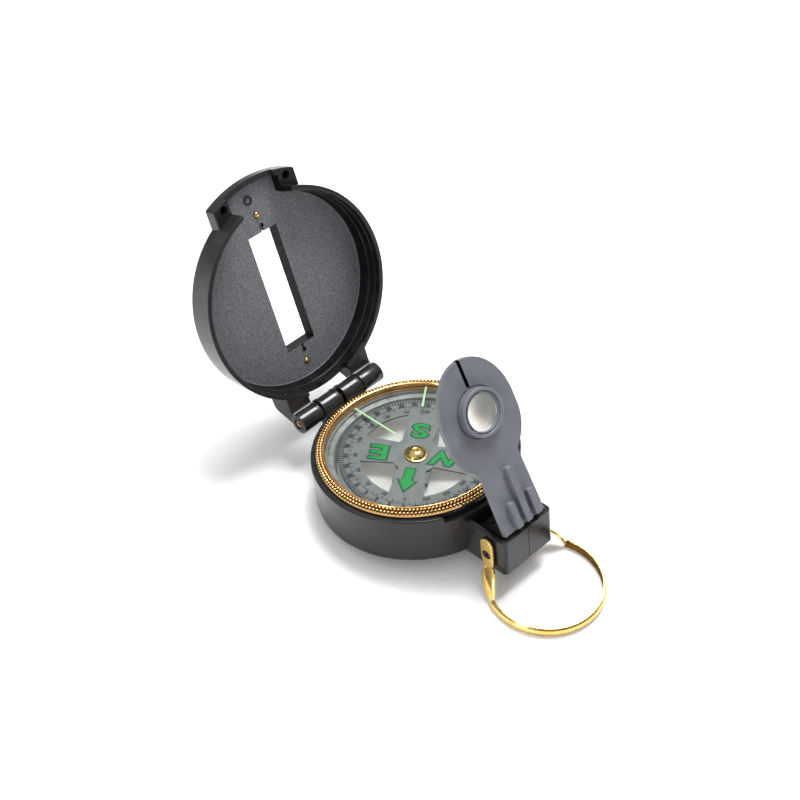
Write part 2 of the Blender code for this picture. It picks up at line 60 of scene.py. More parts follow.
def joint_at(name):
    found = next(joint for joint in frame["joints"] if joint["name"] == name)
    return Vector(found["pos_m"]) / MM


def corners(node):
    low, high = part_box(node)
    return low / MM, high / MM


CASE_LOW, CASE_HIGH = corners("case")
BEZEL_LOW, BEZEL_HIGH = corners("bezel_ring")
COVER_AXIS = joint_at("cover_hinge")
BRACKET_AXIS = joint_at("bracket_fold")
LOOP_AXIS = joint_at("loop_swing")
NEEDLE_TIP = joint_at("dial_tilt")

COVER_OPEN = 105.0
BRACKET_RAISED = 64.5
CARD_LEAN = 5.5
CARD_TURN = 125.0
TABLE_LEAN = 6.2


def turn(degrees, axis):
    return Matrix.Rotation(math.radians(degrees), 4, axis)


COVER_PLACE = Matrix.Translation(COVER_AXIS) @ turn(-COVER_OPEN, "X")
BRACKET_PLACE = Matrix.Translation(BRACKET_AXIS) @ turn(BRACKET_RAISED, "X")
DIAL_PLACE = Matrix.Translation(NEEDLE_TIP) @ turn(CARD_LEAN, "X") @ turn(CARD_TURN, "Z")
CAP_PLACE = Matrix.Translation(NEEDLE_TIP) @ turn(CARD_LEAN, "X")
UPRIGHT = Matrix.Identity(4)


# ---- materials

class Look:
    """A Principled material whose colour, roughness and bump come from procedural noise."""

    def __init__(self, name, colour, roughness, metallic=0.0):
        self.material = bpy.data.materials.new(name)
        self.material.use_nodes = True
        self.nodes = self.material.node_tree.nodes
        self.links = self.material.node_tree.links
        self.shader = self.nodes["Principled BSDF"]
        self.shader.inputs["Base Color"].default_value = (*colour, 1.0)
        self.shader.inputs["Roughness"].default_value = roughness
        self.shader.inputs["Metallic"].default_value = metallic
        self.place = self.nodes.new("ShaderNodeTexCoord").outputs["Object"]
        self.normal = None

    def set(self, **values):
        for name, value in values.items():
            self.shader.inputs[name.replace("_", " ")].default_value = value
        return self

    def noise(self, size, detail=4.0):
        """Noise whose features are about size millimetres across."""
        made = self.nodes.new("ShaderNodeTexNoise")
        made.inputs["Scale"].default_value = 1.0 / (size * MM)
        made.inputs["Detail"].default_value = detail
        self.links.new(self.place, made.inputs["Vector"])
        return made.outputs["Fac"]

    def colours(self, size, first, second, low=0.35, high=0.65):
        """Mottles the colour between two colours, in patches of about size millimetres."""
        ramp = self.nodes.new("ShaderNodeValToRGB")
        for element, place, colour in zip(ramp.color_ramp.elements, (low, high), (first, second)):
            element.position, element.color = place, (*colour, 1.0)
        self.links.new(self.noise(size), ramp.inputs["Fac"])
        self.links.new(ramp.outputs["Color"], self.shader.inputs["Base Color"])
        return self

    def shine(self, size, least, most):
        """Varies the roughness from least to most, in patches of about size millimetres."""
        spread = self.nodes.new("ShaderNodeMapRange")
        spread.inputs["From Min"].default_value = 0.3
        spread.inputs["From Max"].default_value = 0.7
        spread.inputs["To Min"].default_value = least
        spread.inputs["To Max"].default_value = most
        self.links.new(self.noise(size), spread.inputs["Value"])
        self.links.new(spread.outputs["Result"], self.shader.inputs["Roughness"])
        return self

    def bump(self, size, depth, strength=1.0):
        """Grain of about size millimetres across and depth millimetres deep."""
        made = self.nodes.new("ShaderNodeBump")
        made.inputs["Strength"].default_value = strength
        made.inputs["Distance"].default_value = depth * MM
        self.links.new(self.noise(size, 2.0), made.inputs["Height"])
        if self.normal:
            self.links.new(self.normal, made.inputs["Normal"])
        self.normal = made.outputs["Normal"]
        self.links.new(self.normal, self.shader.inputs["Normal"])
        return self


MIRROR_FACING = 0.006
MIRROR_SLANTED = 0.5
MIRROR_SHARPNESS = 5.0


def clear_look(name, tint, shine):
    """Thin clear plastic: light passes straight through, and the surface mirrors more at a slant."""
    material = bpy.data.materials.new(name)
    material.use_nodes = True
    nodes, links = material.node_tree.nodes, material.node_tree.links
    nodes.remove(nodes["Principled BSDF"])
    through = nodes.new("ShaderNodeBsdfTransparent")
    through.inputs["Color"].default_value = (*tint, 1.0)
    mirror = nodes.new("ShaderNodeBsdfGlossy")
    mirror.inputs["Roughness"].default_value = shine
    slant = nodes.new("ShaderNodeLayerWeight")
    slant.inputs["Blend"].default_value = 0.5
    sharper = nodes.new("ShaderNodeMath")
    sharper.operation = "POWER"
    sharper.inputs[1].default_value = MIRROR_SHARPNESS
    links.new(slant.outputs["Facing"], sharper.inputs[0])
    share = nodes.new("ShaderNodeMapRange")
    share.inputs["To Min"].default_value = MIRROR_FACING
    share.inputs["To Max"].default_value = MIRROR_SLANTED
    links.new(sharper.outputs["Value"], share.inputs["Value"])
    blend = nodes.new("ShaderNodeMixShader")
    links.new(share.outputs["Result"], blend.inputs["Fac"])
    links.new(through.outputs["BSDF"], blend.inputs[1])
    links.new(mirror.outputs["BSDF"], blend.inputs[2])
    links.new(blend.outputs["Shader"], nodes["Material Output"].inputs["Surface"])
    return material


def case_look():
    look = Look("case_gloss", (0.026, 0.025, 0.026), 0.2)
    look.set(Specular_IOR_Level=0.3)
    look.colours(9.0, (0.012, 0.0115, 0.012), (0.019, 0.018, 0.019))
    look.shine(3.0, 0.16, 0.28)
    look.bump(7.0, 0.06, 0.5)
    return look.bump(0.35, 0.004, 0.4).material


def knuckle_look():
    look = Look("knuckle_gloss", (0.018, 0.019, 0.021), 0.16)
    look.colours(5.0, (0.006, 0.007, 0.008), (0.014, 0.015, 0.017))
    look.shine(2.0, 0.12, 0.22)
    return look.bump(0.5, 0.006, 0.4).material


def speckled_look():
    """The cover's matte inside: sparked texture with fine pale specks."""
    look = Look("cover_inside_matte", (0.09, 0.095, 0.105), 0.55)
    look.colours(0.36, (0.078, 0.081, 0.090), (0.205, 0.210, 0.225), 0.36, 0.70)
    look.shine(0.6, 0.42, 0.66)
    return look.bump(0.45, 0.06, 0.8).material


def inner_wall_look():
    """Painted shade: a near-black colour for the inside of the cover's wall, which lies in deep shade, and
    for other shaded nooks.
    """
    look = Look("painted_shade_black", (0.006, 0.006, 0.007), 0.5)
    look.colours(3.0, (0.004, 0.004, 0.005), (0.010, 0.010, 0.011))
    look.shine(1.5, 0.45, 0.6)
    look.set(Specular_IOR_Level=0.06)
    return look.bump(0.5, 0.01, 0.4).material


def bracket_look():
    look = Look("bracket_satin", (0.17, 0.18, 0.21), 0.4)
    look.colours(5.0, (0.122, 0.127, 0.146), (0.148, 0.153, 0.173))
    look.shine(1.5, 0.30, 0.44)
    return look.bump(0.22, 0.006, 0.5).material


def dish_look():
    look = Look("dish_pearl_painted_glow", (0.74, 0.70, 0.64), 0.25)
    look.colours(6.0, (0.40, 0.385, 0.355), (0.52, 0.505, 0.475))
    # Painted light: a faint pearly glow lifts the dish, which lies in the card's shade.
    look.set(Emission_Color=(0.95, 0.92, 0.86, 1.0), Emission_Strength=0.22)
    look.shine(4.0, 0.15, 0.35)
    return look.bump(5.0, 0.10, 0.4).material


def ledge_look():
    look = Look("ledge_grey", (0.22, 0.22, 0.205), 0.3)
    look.colours(4.0, (0.18, 0.18, 0.165), (0.27, 0.265, 0.25))
    look.shine(2.0, 0.2, 0.38)
    return look.bump(1.2, 0.02, 0.4).material


def card_look():
    look = Look("card_grey", (0.20, 0.205, 0.205), 0.6)
    look.set(Specular_IOR_Level=0.25)
    look.colours(2.5, (0.150, 0.152, 0.149), (0.182, 0.184, 0.180))
    look.shine(1.0, 0.5, 0.7)
    return look.bump(0.15, 0.004, 0.5).material


def ink_look(name, dark, light, roughness):
    look = Look(name, dark, roughness)
    look.set(Specular_IOR_Level=0.2)
    look.colours(0.5, dark, light)
    return look.bump(0.2, 0.004, 0.4).material


def gold_look(name, first, second, least, most):
    look = Look(name, first, least, 1.0)
    look.colours(2.5, first, second)
    look.shine(0.8, least, most)
    return look.bump(0.3, 0.003, 0.4).material


def steel_look():
    look = Look("steel", (0.5, 0.5, 0.51), 0.3, 1.0)
    look.colours(1.5, (0.42, 0.42, 0.43), (0.58, 0.58, 0.59))
    look.shine(0.6, 0.2, 0.4)
    return look.bump(0.2, 0.003, 0.4).material


def luminous_look():
    look = Look("luminous_green", (0.32, 0.54, 0.26), 0.5)
    look.colours(0.6, (0.28, 0.50, 0.23), (0.38, 0.60, 0.31))
    return look.bump(0.2, 0.01, 0.4).material


def lens_look():
    look = Look("lens_glass", (0.93, 0.94, 0.93), 0.28)
    look.set(Transmission_Weight=1.0, IOR=1.5)
    return look.bump(3.0, 0.002, 0.3).material


# ---- mesh helpers

def arc(centre, radius, start, end, steps):
    """Points on a circle, or on an ellipse when radius is a pair, from start to end degrees."""
    across, along = radius if isinstance(radius, tuple) else (radius, radius)
    angles = [math.radians(start + (end - start) * i / steps) for i in range(steps + 1)]
    return [(centre[0] + across * math.cos(a), centre[1] + along * math.sin(a)) for a in angles]


def fillet(points, radius, steps=4):
    """Rounds every corner of a closed outline. radius is one number or one per corner."""
    radii = radius if isinstance(radius, (list, tuple)) else [radius] * len(points)
    made = []
    for i, corner in enumerate(points):
        here = Vector(corner)
        before = Vector(points[i - 1]) - here
        after = Vector(points[(i + 1) % len(points)]) - here
        cut = min(radii[i], before.length * 0.45, after.length * 0.45)
        if cut < 1e-4:
            made.append(tuple(here))
            continue
        first, last = here + before.normalized() * cut, here + after.normalized() * cut
        for step in range(steps + 1):
            t = step / steps
            made.append(tuple((1 - t) ** 2 * first + 2 * t * (1 - t) * here + t * t * last))
    return made


def prism(outline, bottom, top):
    """An outline of (x, y) points extruded along Z."""
    shape = bmesh.new()
    face = shape.faces.new([shape.verts.new((x, y, bottom)) for x, y in outline])
    grown = bmesh.ops.extrude_face_region(shape, geom=[face])
    raised = [item for item in grown["geom"] if isinstance(item, bmesh.types.BMVert)]
    bmesh.ops.translate(shape, vec=(0, 0, top - bottom), verts=raised)
    return shape


def box(x_range, y_range, z_range):
    (x0, x1), (y0, y1) = x_range, y_range
    return prism([(x0, y0), (x1, y0), (x1, y1), (x0, y1)], *z_range)


def along_x(outline, x0, x1):
    """An outline of (y, z) points extruded along X."""
    shape = prism(outline, x0, x1)
    for corner in shape.verts:
        y, z, x = corner.co
        corner.co = (x, y, z)
    return shape


def turned(profile, segments=160, centre=(0.0, 0.0)):
    """A closed (radius, z) profile spun about the vertical through centre."""
    shape = bmesh.new()
    ring = [shape.verts.new((radius, 0.0, z)) for radius, z in profile]
    edges = [shape.edges.new((a, b)) for a, b in zip(ring, ring[1:] + ring[:1])]
    bmesh.ops.spin(
        shape, geom=ring + edges, cent=(0, 0, 0), axis=(0, 0, 1),
        angle=math.tau, steps=segments, use_merge=True, use_duplicate=False,
    )
    bmesh.ops.remove_doubles(shape, verts=shape.verts, dist=1e-5)
    bmesh.ops.dissolve_degenerate(shape, edges=shape.edges, dist=1e-5)
    bmesh.ops.translate(shape, vec=(*centre, 0.0), verts=shape.verts)
    return shape


def turned_x(profile, segments=48, y=0.0, z=0.0):
    """A closed (radius, x) profile spun about a line along X through (y, z)."""
    shape = turned(profile, segments)
    for corner in shape.verts:
        a, b, x = corner.co
        corner.co = (x, y + a, z + b)
    return shape


def disc(radius, bottom, top, segments=48, centre=(0.0, 0.0)):
    return prism(arc(centre, radius, 0.0, 360.0 - 360.0 / segments, segments - 1), bottom, top)


def moved(shape, offset):
    bmesh.ops.translate(shape, vec=offset, verts=shape.verts)
    return shape


def spun(shape, degrees):
    """Turns a shape about the vertical through the origin."""
    bmesh.ops.rotate(shape, cent=(0, 0, 0), matrix=Matrix.Rotation(math.radians(degrees), 3, "Z"),
                     verts=shape.verts)
    return shape


def joined(shapes):
    """Several bmeshes as one."""
    whole = bmesh.new()
    for shape in shapes:
        mesh = bpy.data.meshes.new("part")
        shape.to_mesh(mesh)
        shape.free()
        whole.from_mesh(mesh)
        bpy.data.meshes.remove(mesh)
    return whole


def new_object(name, data):
    made = bpy.data.objects.new(name, data)
    bpy.context.scene.collection.objects.link(made)
    return made


def rough_piece(name, shape):
    """An object in millimetres, before its cuts, edges and place."""
    bmesh.ops.recalc_face_normals(shape, faces=shape.faces)
    mesh = bpy.data.meshes.new(name)
    shape.to_mesh(mesh)
    shape.free()
    return new_object(name, mesh)


def shape_of(piece):
    """Takes an object's mesh as a bmesh and removes the object."""
    shape = bmesh.new()
    shape.from_mesh(piece.data)
    bpy.data.objects.remove(piece, do_unlink=True)
    return shape


def settle(piece):
    """Applies a piece's modifiers."""
    bpy.context.view_layer.update()
    evaluated = piece.evaluated_get(bpy.context.evaluated_depsgraph_get())
    mesh = bpy.data.meshes.new_from_object(evaluated)
    piece.modifiers.clear()
    piece.data = mesh
    return piece


def carve(piece, *cutters, operation="DIFFERENCE"):
    """Cuts shapes out of a piece, or adds them to it."""
    for cutter in cutters:
        tool = rough_piece("cutting_tool", cutter)
        step = piece.modifiers.new("cut", "BOOLEAN")
        step.operation = operation
        step.solver = "EXACT"
        step.object = tool
        settle(piece)
        bpy.data.objects.remove(tool, do_unlink=True)
    return piece


def add(piece, *shapes):
    return carve(piece, *shapes, operation="UNION")


def soften(piece, width, segments=2, angle=34.0):
    """Rounds a piece's sharp edges."""
    step = piece.modifiers.new("edges", "BEVEL")
    step.width = width
    step.segments = segments
    step.limit_method = "ANGLE"
    step.angle_limit = math.radians(angle)
    return settle(piece)


def finish_piece(piece, body, looks, replaces=(), place=UPRIGHT, crease=38.0, flats=False):
    """Scales a piece to metres, puts it in its place and says what it rides on and stands for."""
    piece.data.transform(Matrix.Diagonal((MM, MM, MM, 1.0)) @ place)
    piece.data.shade_smooth()
    piece.data.set_sharp_from_angle(angle=math.radians(crease))
    if flats:  # normals that keep the flats flat beside the rounded edges
        piece.modifiers.new("even", "WEIGHTED_NORMAL").keep_sharp = True
        settle(piece)
    mesh = piece.data
    looks = looks if isinstance(looks, (list, tuple)) else [looks]
    for look in looks[len(mesh.materials):]:
        mesh.materials.append(look)
    for index, look in enumerate(looks):
        mesh.materials[index] = look
    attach(piece, body)
    if replaces:
        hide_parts(*replaces)
    return piece


def paint(piece, index, chosen):
    """Gives the faces whose centre and normal pass the test another of the piece's materials."""
    for face in piece.data.polygons:
        if chosen(face.center, face.normal):
            face.material_index = index


# ---- case

CASE_RADIUS = CASE_HIGH.x
CASE_TOP = 13.8
CAVITY_RADIUS = 24.1
CAVITY_FLOOR = 2.0
SEAT_RADIUS = 25.4
SEAT_FLOOR = 11.5
FOOT_RADIUS = 22.5
FOOT_RISE = 0.25
HOUSING_HALF_WIDTH = 8.7
HOUSING_FRONT = CASE_LOW.y
HOUSING_TOP = 10.8
HOUSING_FLOOR = 4.6
HOUSING_WALL = 1.4
HOUSING_BACK_RADIUS = 26.6
UNDERCUT_TOP = 12.2
UNDERCUT_HALF_WIDTH = 13.5
UNDERCUT_RADIUS = 26.2
TRUNNION_SOCKET = 1.3
KNUCKLE_RADIUS = 3.2
KNUCKLE_BORE = 1.35
KNUCKLE_SPLIT = 7.2
KNUCKLE_PLAY = 0.15
KNUCKLE_GAP = 0.9
HINGE_HALF_LENGTH = 14.5
LOOP_PEG_RADIUS = 1.1


def knuckle(radius, x0, x1, rims=(True, True)):
    """A hinge barrel with a raised, rounded rim at its ends, measured from the hinge axis."""
    rim, rise = 0.8, 0.16
    profile = [(KNUCKLE_BORE, x0), (radius - 0.35, x0), (radius - 0.08, x0 + 0.12), (radius, x0 + 0.35)]
    if rims[0]:
        profile += [(radius, x0 + rim), (radius - rise, x0 + rim + 0.2)]
    if rims[1]:
        profile += [(radius - rise, x1 - rim - 0.2), (radius, x1 - rim)]
    profile += [(radius, x1 - 0.35), (radius - 0.08, x1 - 0.12), (radius - 0.35, x1),
                (KNUCKLE_BORE, x1)]
    return turned_x(profile, 56)


def make_case(gloss, shade, black):
    profile = fillet([
        (0.0, FOOT_RISE), (FOOT_RADIUS - 0.5, FOOT_RISE), (FOOT_RADIUS, 0.0), (CASE_RADIUS, 0.0),
        (CASE_RADIUS, CASE_TOP), (SEAT_RADIUS, CASE_TOP), (SEAT_RADIUS, SEAT_FLOOR),
        (CAVITY_RADIUS, SEAT_FLOOR), (CAVITY_RADIUS, CAVITY_FLOOR), (0.0, CAVITY_FLOOR),
    ], [0, 0.3, 0.3, 0.9, 0.45, 0.3, 0, 0.1, 0, 0], 5)
    shell = rough_piece("case_shell", turned(profile, 180))
    shelf = [(-UNDERCUT_HALF_WIDTH, -31.0), (UNDERCUT_HALF_WIDTH, -31.0),
             (UNDERCUT_HALF_WIDTH, -10.0), (-UNDERCUT_HALF_WIDTH, -10.0)]
    undercut = rough_piece("undercut", prism(shelf, UNDERCUT_TOP, CASE_TOP + 2))
    carve(undercut, disc(UNDERCUT_RADIUS, 0.0, 20.0, 180))
    carve(shell, shape_of(undercut))

    outline = [(-HOUSING_HALF_WIDTH, -20.0), (-HOUSING_HALF_WIDTH, HOUSING_FRONT),
               (HOUSING_HALF_WIDTH, HOUSING_FRONT), (HOUSING_HALF_WIDTH, -20.0)]
    housing = rough_piece("housing", prism(fillet(outline, [0, 1.5, 1.5, 0], 7), 0.0, HOUSING_TOP))
    inner_half = HOUSING_HALF_WIDTH - HOUSING_WALL
    pocket = fillet([(-inner_half, -19.0), (-inner_half, HOUSING_FRONT + HOUSING_WALL),
                     (inner_half, HOUSING_FRONT + HOUSING_WALL), (inner_half, -19.0)],
                    [0, 0.5, 0.5, 0], 3)
    carve(housing, prism(pocket, HOUSING_FLOOR, HOUSING_TOP + 2))
    carve(housing, disc(HOUSING_BACK_RADIUS, -1.0, 20.0, 180))
    for side in (-1, 1):
        socket = turned_x([(0.0, 0.0), (TRUNNION_SOCKET, 0.0), (TRUNNION_SOCKET, 1.0), (0.0, 1.0)], 24,
                          BRACKET_AXIS.y, BRACKET_AXIS.z)
        carve(housing, moved(socket, (inner_half * side - 0.5 + 0.4 * side, 0, 0)))
    soften(housing, 0.28, 3)
    seam = box((-0.12, 0.12), (HOUSING_FRONT - 1, HOUSING_FRONT + 0.1), (0.8, HOUSING_TOP - 0.4))
    carve(housing, seam)
    add(shell, shape_of(housing))
    soften(shell, 0.12, 2, 50.0)
    for side in (-1, 1):
        inner, outer = KNUCKLE_GAP / 2, KNUCKLE_SPLIT - KNUCKLE_PLAY
        saddle = fillet([(KNUCKLE_RADIUS * 0.9, 1.0), (KNUCKLE_RADIUS * 0.4, -2.6), (-4.0, -8.2),
                         (-5.2, -6.0), (-3.9, -0.75), (-1.6, 2.0)], 0.4, 3)
        foot = along_x([(y + COVER_AXIS.y, z + COVER_AXIS.z) for y, z in saddle],
                       *sorted((side * (inner + 0.25), side * (outer - 0.25))))
        add(shell, foot)
    # Painted shade: the undercut recess beside the housing gets the near-black shade colour.
    paint(shell, 1, lambda spot, facing: abs(spot.x) < UNDERCUT_HALF_WIDTH + 0.1 and spot.y < -20
          and math.hypot(spot.x, spot.y) > UNDERCUT_RADIUS - 0.2 and spot.z > UNDERCUT_TOP - 0.2)
    finish_piece(shell, "case_body", [gloss, shade], ["case"], flats=True)

    for side, name in ((-1, "case_knuckle_left"), (1, "case_knuckle_right")):
        x_range = sorted((side * KNUCKLE_GAP / 2, side * (KNUCKLE_SPLIT - KNUCKLE_PLAY)))
        barrel = rough_piece(name, moved(knuckle(KNUCKLE_RADIUS, *x_range),
                                         (0, COVER_AXIS.y, COVER_AXIS.z)))
        finish_piece(barrel, "case_body", black)


def make_loop_pegs(black):
    for side, name in ((-1, "loop_peg_left"), (1, "loop_peg_right")):
        profile = [(0.0, 0.0), (LOOP_PEG_RADIUS, 0.0), (LOOP_PEG_RADIUS, 1.25), (1.0, 1.4), (0.6, 1.4),
                   (0.5, 0.9), (0.0, 0.85)]
        peg = turned_x(profile, 28)
        if side < 0:
            spun(peg, 180.0)
        moved(peg, (side * (HOUSING_HALF_WIDTH - 0.4), LOOP_AXIS.y, LOOP_AXIS.z))
        finish_piece(rough_piece(name, peg), "case_body", black)


def make_hinge_pin(copper):
    end = HINGE_HALF_LENGTH - 0.2
    half = [(1.1, end - 0.25), (0.95, end), (0.72, end), (0.6, end - 0.1), (0.55, end - 1.2),
            (0.0, end - 1.2)]
    profile = [(radius, -x) for radius, x in reversed(half)] + half
    pin = rough_piece("hinge_pin_rod", turned_x(profile, 32, COVER_AXIS.y, COVER_AXIS.z))
    finish_piece(pin, "case_body", copper, ["hinge_pin"])


# ---- capsule and bezel

BOWL_RADIUS = 23.8
BOWL_TOP = 13.4
LEDGE_RADIUS = 20.9
LEDGE_HEIGHT = 8.0
INDEX_HALF_WIDTH = 0.27
INDEX_ANGLE = -52.0


def make_capsule(glowing_pearl, ledge, luminous):
    profile = fillet([
        (0.0, 2.3), (BOWL_RADIUS, 2.3), (BOWL_RADIUS, BOWL_TOP), (23.0, BOWL_TOP), (22.9, 12.6),
        (21.5, 12.4), (21.3, 9.0), (19.8, 8.2), (16.0, 8.1), (12.0, 7.4), (6.0, 6.6), (0.0, 6.3),
    ], [0, 0.4, 0.1, 0.1, 0.15, 0.3, 1.0, 0.8, 2.0, 2.0, 2.0, 0], 4)
    dish = rough_piece("capsule_dish", turned(profile, 160))
    for face in dish.data.polygons:
        reach = math.hypot(face.center.x, face.center.y)
        face.material_index = 1 if reach > LEDGE_RADIUS and face.center.z > LEDGE_HEIGHT else 0
    finish_piece(dish, "case_body", [glowing_pearl, ledge], ["capsule_bowl"])

    low, high = corners("fixed_index")
    line = box((-INDEX_HALF_WIDTH, INDEX_HALF_WIDTH), (low.y, high.y), (low.z, high.z))
    index = soften(rough_piece("fixed_index_line", line), 0.03)
    finish_piece(index, "case_body", luminous, ["fixed_index"])


BEZEL_TEETH = 160
STEPS_PER_TOOTH = 6
KNURL_ROWS = 3
STEPS_PER_ROW = 4
KNURL_DEPTH = 0.5
KNURL_START, KNURL_END = -14.0, 95.0
KNURL_CENTRE_RADIUS = 24.3
KNURL_WIDTH, KNURL_HEIGHT = 1.7, 1.27
SHADED_GROOVE_LEVEL = 0.38


def knurl_band():
    """Places and outward directions down the knurled outside of the bezel, with each one's row."""
    centre_z = BEZEL_HIGH.z - KNURL_HEIGHT - 0.01
    band = []
    steps = KNURL_ROWS * STEPS_PER_ROW
    for i in range(steps + 1):
        angle = math.radians(KNURL_START + (KNURL_END - KNURL_START) * i / steps)
        facing = Vector((math.cos(angle) / KNURL_WIDTH, math.sin(angle) / KNURL_HEIGHT)).normalized()
        spot = Vector((KNURL_CENTRE_RADIUS + KNURL_WIDTH * math.cos(angle),
                       centre_z + KNURL_HEIGHT * math.sin(angle)))
        band.append((spot, facing, i / STEPS_PER_ROW))
    return band


def bead_height(around, row):
    """How far the knurl stands out, 0 in the grooves and 1 on a bead, at a place on the band."""
    stagger = math.pi * (int(min(row, KNURL_ROWS - 0.01)) % 2)
    across = 0.5 - 0.5 * math.cos(math.tau * row)
    return (0.5 + 0.5 * math.cos(BEZEL_TEETH * around + stagger)) * across


def make_bezel(gold, lip_gold, groove_shade_gold, luminous):
    """Three staggered rows of knurl beads outside a polished lip, as one ring."""
    top = BEZEL_HIGH.z
    band = knurl_band()
    inner = [
        (24.08, top - 0.16), (23.98, top - 0.07), (23.85, top - 0.07),
        (23.68, top - 0.2), (23.55, top - 0.42), (23.5, top - 0.62), (24.25, top - 0.66),
        (24.25, BEZEL_LOW.z + 0.1), (25.0, BEZEL_LOW.z + 0.1), (25.0, top - 1.75), (25.85, top - 1.75),
    ]
    shape = bmesh.new()
    rings = []
    count = BEZEL_TEETH * STEPS_PER_TOOTH
    for i in range(count):
        around = math.tau * i / count
        ring = []
        for spot, facing, row in band:
            ring.append(tuple(spot - facing * KNURL_DEPTH * (1 - math.sqrt(bead_height(around, row)))))
        ring += inner
        rings.append([shape.verts.new((r * math.cos(around), r * math.sin(around), z)) for r, z in ring])
    for i, (a, b) in enumerate(zip(rings, rings[1:] + rings[:1])):
        around = math.tau * (i + 0.5) / count
        for k in range(len(a)):
            face = shape.faces.new((a[k], b[k], b[(k + 1) % len(a)], a[(k + 1) % len(a)]))
            if k < len(band) - 1:
                # Painted shade: faces low in the grooves between the beads get a dark gold.
                height = bead_height(around, (k + 0.5) / STEPS_PER_ROW)
                face.material_index = 2 if height < SHADED_GROOVE_LEVEL else 0
            else:
                face.material_index = 1
    ring = rough_piece("bezel_knurled_ring", shape)
    finish_piece(ring, "bezel", [gold, lip_gold, groove_shade_gold], ["bezel_ring"], crease=62.0)

    line = box((-INDEX_HALF_WIDTH, INDEX_HALF_WIDTH), (15.2, 23.3), (top - 1.4, top - 1.25))
    index = soften(rough_piece("bezel_index_line", line), 0.03)
    finish_piece(index, "bezel", luminous, ["bezel_index"],
                 turn(INDEX_ANGLE, "Z"))


# ---- dial card

CARD_TOP = -0.4
CARD_BOTTOM = -0.9
CARD_RADIUS = 20.4
CARD_HOLE = 2.4
WINDOW_OUTER = 14.7
WINDOW_INNER = 6.4
DEGREE_NUMBERS = 15.75
DEGREE_RIM = 17.5
MIL_NUMBERS = 18.3
MIL_RIM = 20.15
MIL_TICKS = 160
LETTER_SIZE = 6.9
ARROW_TURN = -3.5


def lettering(text, size, where, angle, weight=0.0, lift=0.0, stretch=1.0):
    """A text centred at where, turned by angle degrees, as a bmesh on the card's face."""
    depth = 0.02
    curve = bpy.data.curves.new("lettering", "FONT")
    curve.body = text
    curve.size = size
    curve.align_x = "CENTER"
    curve.align_y = "CENTER"
    curve.offset = weight
    curve.extrude = depth
    curve.resolution_u = 3
    made = new_object("lettering", curve)
    bpy.context.view_layer.update()
    evaluated = made.evaluated_get(bpy.context.evaluated_depsgraph_get())
    mesh = bpy.data.meshes.new_from_object(evaluated)
    place = Matrix.Translation((*where, CARD_TOP + depth + lift)) @ turn(angle, "Z")
    place = place @ Matrix.Diagonal((stretch, 1.0, 1.0, 1.0))
    mesh.transform(place)
    shape = bmesh.new()
    shape.from_mesh(mesh)
    bmesh.ops.remove_doubles(shape, verts=shape.verts, dist=1e-4)
    bpy.data.objects.remove(made, do_unlink=True)
    bpy.data.curves.remove(curve)
    bpy.data.meshes.remove(mesh)
    return shape


def tick(angle, inner, outer, width):
    """A printed radial line. angle runs clockwise from north."""
    return spun(box((-width / 2, width / 2), (inner, outer), (CARD_TOP + 0.01, CARD_TOP + 0.04)), -angle)


def around_dial(angle, radius):
    return radius * math.sin(math.radians(angle)), radius * math.cos(math.radians(angle))


def window_outline(middle):
    """One of the card's four clear quarters between the arms, with rounded corners."""
    outline = arc((0, 0), WINDOW_OUTER, middle - 27, middle + 27, 12)
    outline += arc((0, 0), WINDOW_INNER, middle + 10, middle - 10, 3)
    return outline


